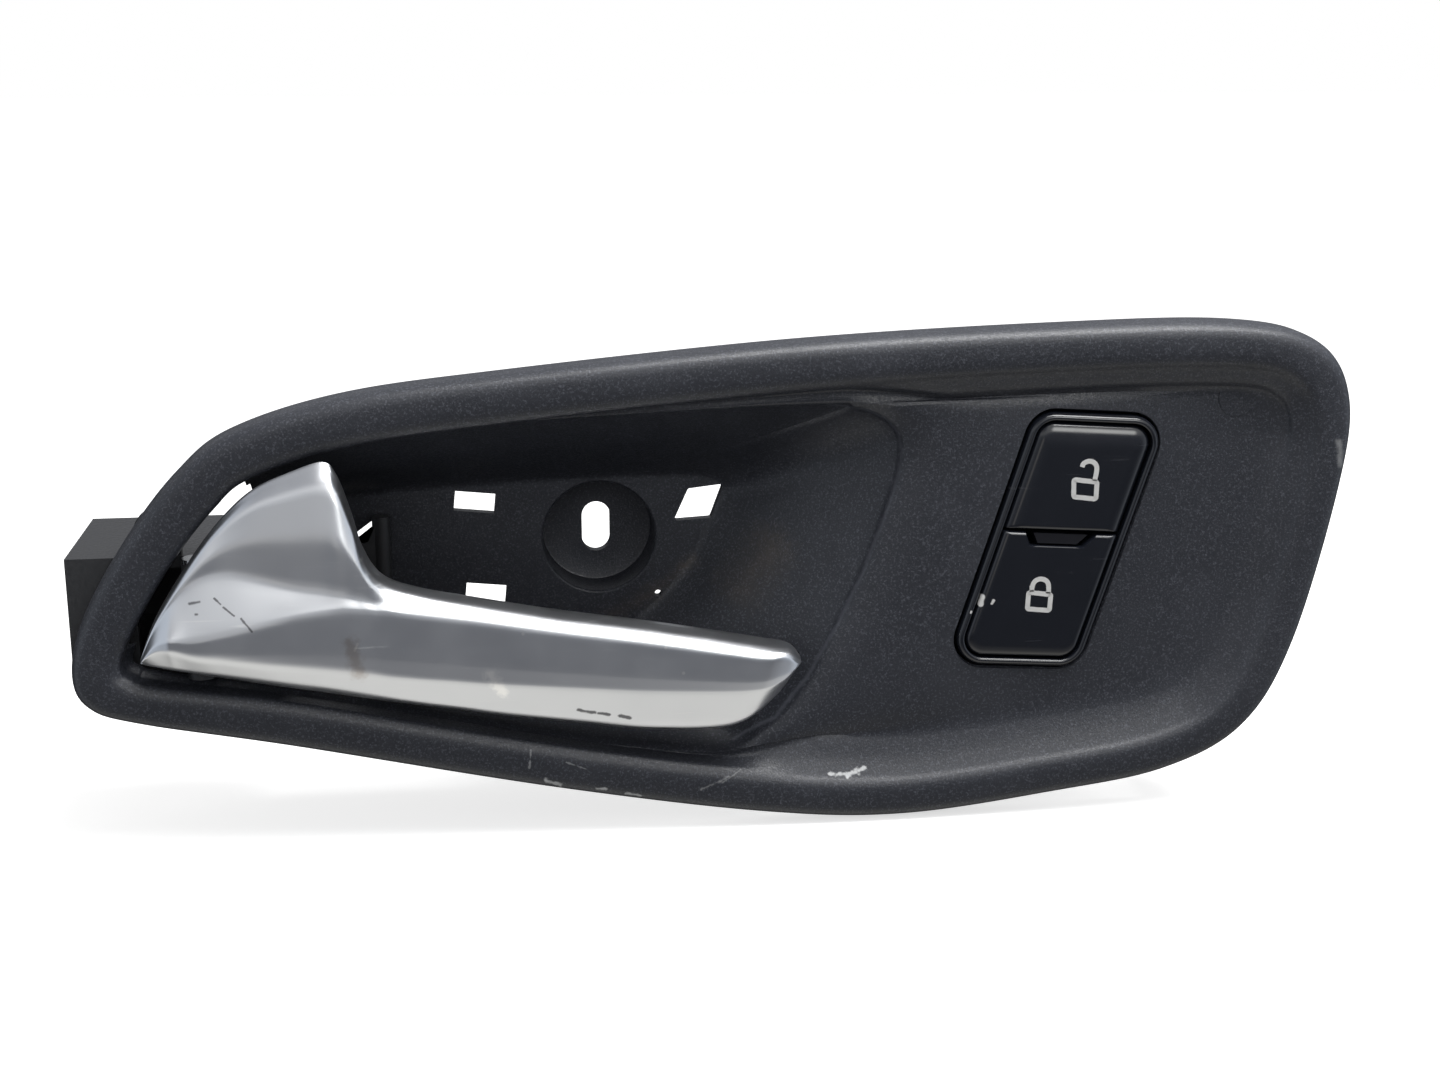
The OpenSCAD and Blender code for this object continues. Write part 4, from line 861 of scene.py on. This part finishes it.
class HANDLE_OT_bezel(bpy.types.Operator):
    """Makes the grained bezel: the moulding's rings joined by Hermite spans across and Catmull-Rom spans along"""

    bl_idname = "handle.bezel"
    bl_label = "Bezel"

    def execute(self, context):
        rings = np.concatenate([between(front_rings(), 6), np.stack(back_rings())])
        obj = make_object("bezel_moulding", [loft(rings)])
        # The slit follows the rim. The window leaves room for the carrier and, with a slanted edge, for its tongue
        low = BOX_LOW - 0.4
        lip = in_from_rim(RIM_W - 1.6)
        lip = lip[(lip[:, 0] < SLIT_X) & (lip[:, 1] > SLIT_LOW)]
        window = [[-120, -60], [WINDOW_X, -60], [WINDOW_X, low], [TONGUE_X, low], [TONGUE_X, 5.8],
                  [TONGUE_X - 4.4, 2.6], [WINDOW_X, 2.6], [WINDOW_X, 12], [SLIT_X, 12], [SLIT_X, 60], [-120, 60]]
        opened = [[prism(window, SEAT_Y, 10)],
                  [prism(np.vstack([lip, [SLIT_X, SLIT_LOW]]), CREST_Y + WALL + 0.7, 10)]]
        # Added: the screw recess's boss, the carrier's bosses, two pegs, four clip towers and the switch's collar
        pegs = [(122, 30), (112, -32)]
        towers = [(-30, 31.5, 0, CREST_Y + WALL), (126, 4, 75, DISH_BACK_Y), (66, -46, 0, CREST_Y + WALL),
                  (62, 39, 0, CREST_Y + WALL)]
        added = [rod(0, 0, 13.5, CUP_Y + 0.6, 2.4, 96)]
        added += [rod(x, z, 3.2, CREST_Y + WALL - 0.3, SEAT_Y + 2.98) for x, z in BOSSES]
        added += [turned(x, z, [(3.7, DISH_Y + 0.4), (3.7, DISH_BACK_Y + 0.4), (2.5, DISH_BACK_Y + 0.4),
                                (2.5, DISH_BACK_Y + 12.4), (2.0, DISH_BACK_Y + 13)], 48) for x, z in pegs]
        added += [block(x, z, 8, 2.4, y - 0.8, DISH_BACK_Y + 13, turn) for x, z, turn, y in towers]
        added += [prism(switch_loop(POCKET_GAP + COLLAR_T), DISH_Y + 1, DISH_BACK_Y + COLLAR_LEN)]
        # Cut: the recess, its slot, two oblong holes, a slanted hole and a pin hole, the switch's pocket, screw bores
        half, r, w = (SLOT_H - SLOT_W) / 2, SLOT_W / 2, np.linspace(0, np.pi, 25)
        slot = np.vstack([np.c_[-r * np.cos(w), half + r * np.sin(w)], np.c_[r * np.cos(w), -half - r * np.sin(w)]])
        quad = rounded([[18, 9.4], [25.2, 10.2], [22.6, 3.2], [15, 2.8]], [.5] * 4, 4)
        recess = [(11.7, CREST_Y), (11.7, CUP_Y - .02), (11.52, CUP_Y + .1), (11.3, CUP_Y + .3), (11.2, CUP_Y + .6),
                  (11.2, -.5), (11.05, -.15), (10.7, 0)]
        pocket = [(POCKET_GAP + .25, CREST_Y - 1), (POCKET_GAP + .25, DISH_Y - .05), (POCKET_GAP, DISH_Y + .25),
                  (POCKET_GAP, DISH_BACK_Y + 7)]
        cuts = [
            [turned(0, 0, recess)],
            [prism(slot, -1, 4)],
            [block(-24.6, 7.9, 8, 4, CUP_Y - 8, CUP_Y + 8, -6), block(-22.9, -11, 8, 4, CUP_Y - 8, CUP_Y + 8, -6)],
            [prism(quad, CUP_Y - 8, CUP_Y + 8), rod(11.8, -12.2, .7, CUP_Y - 2, CUP_Y + 8, 24)],
            [loft([at_depth(switch_loop(d), y) for d, y in pocket])],
            [rod(x, z, 1.43, CREST_Y + WALL + 1, 10, 32) for x, z in BOSSES]]
        carve(obj, [("DIFFERENCE", c) for c in opened] + [("UNION", added)] + [("DIFFERENCE", c) for c in cuts])
        smooth(obj, 32)
        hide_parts("bezel")
        dress(obj, "grained_black", "housing")
        return {"FINISHED"}


class HANDLE_OT_lever(bpy.types.Operator):
    """Makes the lever's chrome shell and the core inside it from sections along two Catmull-Rom edges. The core has
    two knuckles round the pin, an arm for the cable, and screw holes"""

    bl_idname = "handle.lever"
    bl_label = "Lever shell"

    def execute(self, context):
        p = context.scene.handle_lever
        shell, core = lever_rings(p.stations, p.across)
        obj = make_object("lever_shell", [loft(shell)])
        smooth(obj, 65)
        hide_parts("lever_cover")
        dress(obj, "satin_chrome", "lever")
        obj = make_object("lever_backing", [loft(core)])
        # The knuckles have a web each, are bored for the bushes and cut back at the outer ends for their flanges
        x, y, r, low, high = PIN_X, PIN_Y, KNUCKLE_R, KNUCKLE_LOW, KNUCKLE_HIGH
        added, cuts = [], [upright(x, y, r, low - 1, low + .5), upright(x, y, r, high - .5, high + .5)]
        for z in (low, high - KNUCKLE_LEN):
            end = z + KNUCKLE_LEN
            added += [upright(x, y, r, z, end), cuboid(x - 2, EDGE_Y + .8, z, 10, y - EDGE_Y - 2.3, KNUCKLE_LEN)]
            cuts += [upright(x, y, 2.13, z - .1, end + .1)]
        # The arm with its eye, which is slit on the left to let the cable's end in
        eye = y + 18
        added += [cuboid(x - 2.5, y + 2.5, low + .5, 5, 15.5, 3.6), upright(x, eye, 3.6, low + .5, low + 4.1)]
        cuts += [upright(x, eye, 1.8, low - 1, low + 5), cuboid(x - 4.6, eye - .7, low - 1, 4.6, 1.4, 6.6)]
        cuts += [rod(sx, sz, 0.9, EDGE_Y - 2.4, EDGE_Y + 4.6, 32) for sx, sz in LEVER_SCREWS]
        carve(obj, [("UNION", [part]) for part in added] + [("DIFFERENCE", [part]) for part in cuts])
        smooth(obj, 35)
        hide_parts("lever_core")
        dress(obj, "black_plastic", "lever")
        return {"FINISHED"}


class HANDLE_OT_carrier(bpy.types.Operator):
    """Makes the black box that holds the lever's pin, with its lugs, ears, bumper post, spring rib and round tongue"""

    bl_idname = "handle.carrier"
    bl_label = "Pivot carrier"

    def execute(self, context):
        left, right, front, back = BOX_LEFT, BOX_RIGHT, BOX_FRONT, BOX_BACK
        low, high, wall = BOX_LOW, BOX_HIGH, BOX_WALL
        x, y, side, end = PIN_X, PIN_Y, TONGUE_X, CUP_Y - 2.2
        obj = make_object("carrier_moulding", [cuboid(left, front, low, right - left, back - front, high - low)])
        # Hollow, closed at its left front and open before the lever's root, with a way in for the cable on the left
        cuts = [cuboid(a, front + b, low + wall, right - wall - a, back - wall - front - b, high - low - 2 * wall)
                for a, b in ((left + wall, wall), (-88.0, -1))]
        cuts += [cuboid(left - 1, back - 14, low + 2.4, wall + 2, 15, 5)]
        # Two lugs for the pin, an ear for the upper screw, and a wide one for the lower two
        added = []
        for z in (low, high - wall):
            added += [upright(x, y, 2.7, z, z + wall), cuboid(x - 2.7, y, z, 5.4, front - y + 1, wall)]
        (ax, az), (px, pz), (qx, qz) = BOSSES
        added += [rod(ax, az, 4.2, front, front + 2), cuboid(ax - 4.2, front, high - 1, 8.4, 2, az - high + 1)]
        added += [prism([[px - 3.2, low + 1], [px - 3.2, pz - 2.2], [px, pz - 3.2], [qx, qz - 3.2],
                         [qx + 3.2, qz - 2.2], [qx + 3.2, low + 1]], front, front + 2)]
        # The post for the rest bumper on its shelf, the rib that the spring leans on, and the tongue with its post
        added += [rod(right - 5.5, -6, 2.4, EDGE_Y + 4.5, front + 1), cuboid(right - 7.9, front, -8.4, 7.9, 2, 4.8)]
        added += [cuboid(x + 3.1, front, -6.2, wall, 5, high - 1.1 + 6.2)]
        added += [prism([[right - 1, -6.2], [right - 1, 1.4], [side - 2.2, 1.4], [side, 6.2], [side + .4, 6.2],
                         [side + .4, -6.2]], end - 1.3, end + 1.3), upright(side + .4, end, 1.8, -6.2, 6.2)]
        bores = [upright(x, y, PIN_BORE_R, low - 1, high + 1)]
        bores += [rod(sx, sz, 1.7, front - 1, front + 3, 32) for sx, sz in BOSSES]
        steps = [("DIFFERENCE", cuts), ("UNION", added), ("DIFFERENCE", bores)]
        carve(obj, [(kind, [part]) for kind, parts in steps for part in parts])
        smooth(obj, 35)
        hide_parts("pivot_carrier")
        dress(obj, "black_plastic", "housing")
        return {"FINISHED"}


def key_object(name, low, high, top):
    """A key: its outline moved inwards by d at depths y, as a soft shoulder. The lower key has the window's notch."""
    drops = np.array([[3.2, 0], [2.4, .06], [1.3, .28], [.5, .7], [.12, 1.2], [0, 1.8]])
    fine = np.clip(along(drops, np.linspace(0, 1, 21)), 0, None)
    fine = np.vstack([[3.8, 0], fine])
    factor = 1.0 if top else 0.5
    loops = [at_depth(key_loop(low, high, d * factor, top), KEY_FRONT_Y + y * mix(0.6, 1, factor)) for d, y in fine]
    loops.append(at_depth(key_loop(low, high, 0, top), KEY_BACK_Y))
    obj = make_object(name, [loft(loops)])
    if not top:
        depths = [(-1, .24), (0, .24), (.3, .08), (.7, 0), (9, 0)]
        carve(obj, [("DIFFERENCE", [loft([at_depth(notch_loop(high, d), KEY_FRONT_Y + y) for y, d in depths])])])
    smooth(obj, 30)
    return obj


class HANDLE_OT_switch(bpy.types.Operator):
    """Makes the switch's frame and two keys: loops of a slanted rounded outline, grown by d and set at the depth y"""

    bl_idname = "handle.switch"
    bl_label = "Lock switch"

    def execute(self, context):
        back = DISH_BACK_Y + COLLAR_LEN
        outer = [(-1.15, 0.02), (-1.0, 0), (-.8, .04), (-.58, .14), (-.36, .32), (-.18, .58), (-.05, .9), (0, 1.3)]
        inner = [(-RING_W, .5), (-RING_W + .04, .3), (-RING_W + .12, .14)]
        loops = [at_depth(switch_loop(d), FRAME_Y + y) for d, y in inner + outer]
        foot = [(0, -1.6), (POCKET_GAP - .06, -1.4), (POCKET_GAP - .06, 0), (-RING_W, 0)]
        loops += [at_depth(switch_loop(d), back + y) for d, y in foot]
        obj = make_object("frame_ring", [loft(loops, wrap=True)])
        smooth(obj, 45)
        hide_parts("switch_frame")
        dress(obj, "gloss_black", "housing")
        upper = key_object("upper_key", SPLIT_V + KEY_GAP / 2, KEY_END, True)
        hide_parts("unlock_button")
        dress(upper, "gloss_black", "unlock_key")
        lower = key_object("lower_key", -KEY_END, SPLIT_V - KEY_GAP / 2, False)
        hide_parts("lock_button")
        dress(lower, "gloss_black", "lock_key")
        return {"FINISHED"}


def stroke_path(points, width, closed):
    """A flat ribbon along a path, just proud of the key: the path plus and minus half the width square to it."""
    p = np.asarray(points, float)
    if closed:
        v = np.roll(p, -1, 0) - np.roll(p, 1, 0)
    else:
        v = np.gradient(p, axis=0)
    u = v / np.linalg.norm(v, axis=1, keepdims=True)
    n = np.c_[u[:, 1], -u[:, 0]] * width / 2
    front, back = KEY_FRONT_Y - 0.03, KEY_FRONT_Y + 0.03
    corners = ((p + n, front), (p - n, front), (p - n, back), (p + n, back))
    return loft(np.stack([at_depth(line, y) for line, y in corners], 1), wrap=closed)


class HANDLE_OT_springs(bpy.types.Operator):
    """Makes two turned rubber domes and the torsion spring: a tube round (x + r cos w, y + r sin w), which falls
    evenly with w, with two straight legs"""

    bl_idname = "handle.springs"
    bl_label = "Domes and spring"

    def execute(self, context):
        board, tall = -23.6, 4.38
        profile = [(4.2, board), (4.2, board - 0.6), (2.6, board - 3.2), (2.6, board - tall)]
        split = SPLIT_V + KEY_GAP / 2, SPLIT_V - KEY_GAP / 2
        domes = [("upper_dome", "unlock_dome", "unlock_press", (split[0] + KEY_END) / 2),
                 ("lower_dome", "lock_dome", "lock_press", (split[1] - KEY_END) / 2)]
        for name, node, joint, v in domes:
            x, z = switch_point([0, v])
            obj = make_object(name, [turned(x, z, profile)])
            smooth(obj, 40)
            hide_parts(node)
            dress(obj, "dome_silicone", "housing")
            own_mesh(obj)
        x, y, r, wire, turns, high, low = PIN_X, PIN_Y, 2.69, 0.4, 5.25, -4.2, -10.58
        w = np.linspace(0, -2 * np.pi * turns, 253)
        coil = np.c_[x + r * np.cos(w), y + r * np.sin(w), np.linspace(high, low, 253)]
        legs = np.linspace(0, 1, 9)[:, None]
        path = np.vstack([mix(np.array([x + r, -23.4, high]), coil[0], legs)[:-1], coil,
                          mix(coil[-1], np.array([x - 6.6, y - r, low]), legs)[1:]])
        u = np.gradient(path, axis=0)
        u /= np.linalg.norm(u, axis=1, keepdims=True)
        v = np.cross(u, [0, 0, 1])
        v /= np.linalg.norm(v, axis=1, keepdims=True)
        a = np.linspace(0, 2 * np.pi, 16, endpoint=False)[:, None]
        rings = path[:, None] + wire * (np.cos(a) * v[:, None] + np.sin(a) * np.cross(v, u)[:, None])
        obj = make_object("spring_coil", [loft(rings)])
        smooth(obj, 40)
        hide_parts("return_spring")
        obj.data.materials.append(material("spring_steel"))
        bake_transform(obj)
        return {"FINISHED"}


class HANDLE_OT_signs(bpy.types.Operator):
    """Makes the open and closed padlock signs: thin ribbons along a rounded box and a Catmull-Rom arch on each key"""

    bl_idname = "handle.signs"
    bl_label = "Padlock signs"

    def execute(self, context):
        w = context.scene.handle_switch.stroke / MM
        signs = [
            ("open_sign", "unlock_key", [[89.5, 15.1], [94.1, 14.45], [94.05, 11.1], [89.6, 11.7]],
             [[91.0, 17.5], [91.3, 18.2], [92.2, 18.6], [93.2, 18.4], [93.85, 17.6], [93.9, 16.4], [93.6, 14.7]]),
            ("closed_sign", "lock_key", [[81.45, -7.1], [85.9, -7.75], [85.75, -10.95], [81.3, -10.45]],
             [[82.1, -7.0], [82.1, -6.0], [82.6, -4.95], [83.6, -4.5], [84.8, -4.85], [85.35, -5.8], [85.4, -7.5]])]
        for name, body, box, arch in signs:
            frame_line = rounded(box, [0.35] * 4, 5)
            arch_line = along(arch, np.linspace(0, 1, 40))
            obj = make_object(name, [stroke_path(frame_line, w, True), stroke_path(arch_line, w, False)])
            obj.data.materials.append(material("sign_white"))
            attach(obj, body)
        return {"FINISHED"}


class HANDLE_OT_frame_parts(bpy.types.Operator):
    """Gives every CAD node that stays in view a material for its slot"""

    bl_idname = "handle.frame_parts"
    bl_label = "Inner parts"

    def execute(self, context):
        for name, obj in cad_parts.items():
            for k, old in enumerate(obj.data.materials):
                slot = old.name.split(".")[0].replace("_frame", "")
                if slot not in PLAIN and slot not in ("grained_black", "satin_chrome", "gloss_black"):
                    raise RuntimeError(f"{name} has an unknown slot {slot}")
                obj.data.materials[k] = material(slot)
        return {"FINISHED"}


class HANDLE_OT_stage(bpy.types.Operator):
    """Makes the floor, the surroundings, the lamps and the camera"""

    bl_idname = "handle.stage"
    bl_label = "Stage"

    def execute(self, context):
        p = context.scene.handle_stage
        scene = context.scene
        scene.view_settings.view_transform = "Standard"
        self.floor(p)
        self.world(scene, p)
        self.lamp("softbox", (0.20, -0.14, 0.55), (0.02, -0.02, 0), 0.34, 0.44, p.key_light)
        self.lamp("fill", (-0.25, -0.60, 0.25), (0.02, 0, 0), 0.5, 0.5, p.fill_light)
        camera = bpy.data.cameras.new("camera")
        camera.lens, camera.sensor_width = 50, 36
        camera.clip_start, camera.clip_end = 0.01, 20
        obj = bpy.data.objects.new("camera", camera)
        context.collection.objects.link(obj)
        # The photo's view: a little from the left and from above, some 0.41 m away
        azimuth, elevation = math.radians(-7.5), math.radians(14.5)
        level = math.cos(elevation)
        look = Vector((-math.sin(azimuth) * level, math.cos(azimuth) * level, -math.sin(elevation)))
        right = Vector((math.cos(azimuth), math.sin(azimuth), 0))
        up = right.cross(look)
        rotation = Matrix((right, up, -look)).transposed().to_4x4()
        obj.matrix_world = Matrix.Translation((-0.02673, -0.39795, 0.09997)) @ rotation
        scene.camera = obj
        return {"FINISHED"}

    def floor(self, p):
        """A wide slab half a millimetre below the part. It glows to the camera only, and reflections don't see it."""
        obj = make_object("floor", [cuboid(-4000, -4000, cad_low.z / MM - 5.5, 8000, 8000, 5)])
        m, t, s = new_material("floor", p.floor, 0.9)
        s.inputs["Specular IOR Level"].default_value = 0.0
        rays = t.node("ShaderNodeLightPath")
        shown = t.math("MAXIMUM", rays.outputs["Is Camera Ray"], rays.outputs["Is Transmission Ray"])
        s.inputs["Emission Color"].default_value = (1, 1, 1, 1)
        t.join(t.math("MULTIPLY", shown, 0.62), s.inputs["Emission Strength"])
        obj.data.materials.append(m)
        obj.visible_glossy = obj.visible_diffuse = False

    def world(self, scene, p):
        """White to the camera. Reflections see a studio: dark in front at eye level, bright above, pale below."""
        world = bpy.data.worlds.new("studio")
        scene.world = world
        world.use_nodes = True
        t = Tree(world.node_tree)
        shader = next(n for n in world.node_tree.nodes if n.type == "BACKGROUND")
        way = t.node("ShaderNodeSeparateXYZ")
        place = t.node("ShaderNodeTexCoord").outputs["Generated"]
        t.join(place, way.inputs[0])
        ramp = t.node("ShaderNodeValToRGB")
        stops = [
            (-1.0, (0.91, 0.895, 0.85)), (-0.85, (0.85, 0.835, 0.79)), (-0.62, (0.36, 0.36, 0.37)),
            (-0.42, (0.11, 0.115, 0.13)), (-0.28, (0.10, 0.105, 0.12)), (-0.12, (0.17, 0.18, 0.20)),
            (0.06, (0.27, 0.28, 0.31)), (0.18, (0.34, 0.36, 0.39)), (0.26, (0.74, 0.75, 0.77)),
            (0.38, (1.2, 1.2, 1.2)), (1.0, (1.2, 1.2, 1.2))]
        elements = ramp.color_ramp.elements
        elements[0].color, elements[1].color = (*stops[0][1], 1), (*stops[-1][1], 1)
        for z, colour in stops[1:-1]:
            elements.new((z + 1) / 2).color = (*colour, 1)
        t.join(t.math("MULTIPLY_ADD", way.outputs["Z"], 0.5, 0.5), ramp.inputs["Fac"])
        rays = t.node("ShaderNodeLightPath")
        shown = t.math("MAXIMUM", rays.outputs["Is Camera Ray"], rays.outputs["Is Transmission Ray"])
        side = t.math("ABSOLUTE", way.outputs["X"])
        high_left = t.step(way.outputs["Z"], 0.25, 0.6), t.step(way.outputs["X"], -0.3, -0.05, 0.8, 0.0)
        corner = t.math("MULTIPLY", *high_left)
        seen = t.blend(corner, ramp.outputs["Color"], (0.16, 0.17, 0.2, 1))
        seen = t.blend(t.step(side, 0.55, 0.95), seen, (0.62, 0.67, 0.74, 1))
        pane = t.vector("DISTANCE", place, (-0.27, -0.96, -0.02))
        seen = t.blend(t.step(pane, 0.05, 0.16, 1.0, 0.0), seen, (0.95, 0.92, 0.88, 1))
        strip = t.vector("DISTANCE", place, (0.33, -0.84, 0.43))
        seen = t.blend(t.step(strip, 0.06, 0.24, 1.0, 0.0), seen, (7.0, 7.0, 6.8, 1))
        rear = t.blend(t.step(way.outputs["Z"], 0.0, 0.5), (0.02, 0.02, 0.02, 1), (0.55, 0.56, 0.58, 1))
        behind = t.blend(t.step(way.outputs["Y"], 0.1, 0.5), seen, rear)
        low, high = p.ambient * 0.3, p.ambient
        around = t.blend(t.step(way.outputs["Z"], -0.5, 0.6), (low, low, low, 1), (high, high, high, 1))
        lit = t.blend(rays.outputs["Is Glossy Ray"], around, behind)
        t.join(t.blend(shown, lit, (1, 1, 1, 1)), shader.inputs["Color"])

    def lamp(self, name, place, aim, width, height, power):
        """A rectangular lamp that looks from place to aim. Reflections see the softbox alone."""
        light = bpy.data.lights.new(name, "AREA")
        light.shape, light.size, light.size_y, light.energy = "RECTANGLE", width, height, power
        obj = bpy.data.objects.new(name, light)
        bpy.context.collection.objects.link(obj)
        obj.location = place
        obj.rotation_euler = (Vector(aim) - Vector(place)).to_track_quat("-Z", "Y").to_euler()
        obj.visible_glossy = name == "softbox"


class HANDLE_PT_panel(bpy.types.Panel):
    """Lists the pieces and their settings"""

    bl_idname = "HANDLE_PT_panel"
    bl_label = "Door handle"
    bl_space_type = "VIEW_3D"
    bl_region_type = "UI"
    bl_category = "Handle"

    def draw(self, context):
        for step, group in STEPS:
            self.layout.operator(step.bl_idname)
            if group:
                box = self.layout.box()
                settings = getattr(context.scene, group)
                for name in settings.bl_rna.properties.keys():
                    if name not in ("rna_type", "name"):
                        box.prop(settings, name)


STEPS = [
    (HANDLE_OT_bezel, "handle_bezel"), (HANDLE_OT_carrier, None), (HANDLE_OT_lever, "handle_lever"),
    (HANDLE_OT_switch, "handle_switch"), (HANDLE_OT_springs, None), (HANDLE_OT_signs, None),
    (HANDLE_OT_frame_parts, None), (HANDLE_OT_stage, "handle_stage")]
GROUP_TYPES = {
    "handle_bezel": HandleBezelProps, "handle_lever": HandleLeverProps, "handle_switch": HandleSwitchProps,
    "handle_stage": HandleStageProps}


def register():
    for name, kind in GROUP_TYPES.items():
        bpy.utils.register_class(kind)
        setattr(bpy.types.Scene, name, PointerProperty(type=kind))
    for step, group in STEPS:
        bpy.utils.register_class(step)
    bpy.utils.register_class(HANDLE_PT_panel)


def unregister():
    bpy.utils.unregister_class(HANDLE_PT_panel)
    for step, group in reversed(STEPS):
        bpy.utils.unregister_class(step)
    for name, kind in reversed(list(GROUP_TYPES.items())):
        delattr(bpy.types.Scene, name)
        bpy.utils.unregister_class(kind)


def main():
    register()
    for step, group in STEPS:
        space, name = step.bl_idname.split(".")
        if getattr(getattr(bpy.ops, space), name)() != {"FINISHED"}:
            raise RuntimeError(f"{step.bl_label} didn't finish")


if __name__ == "__main__":
    main()
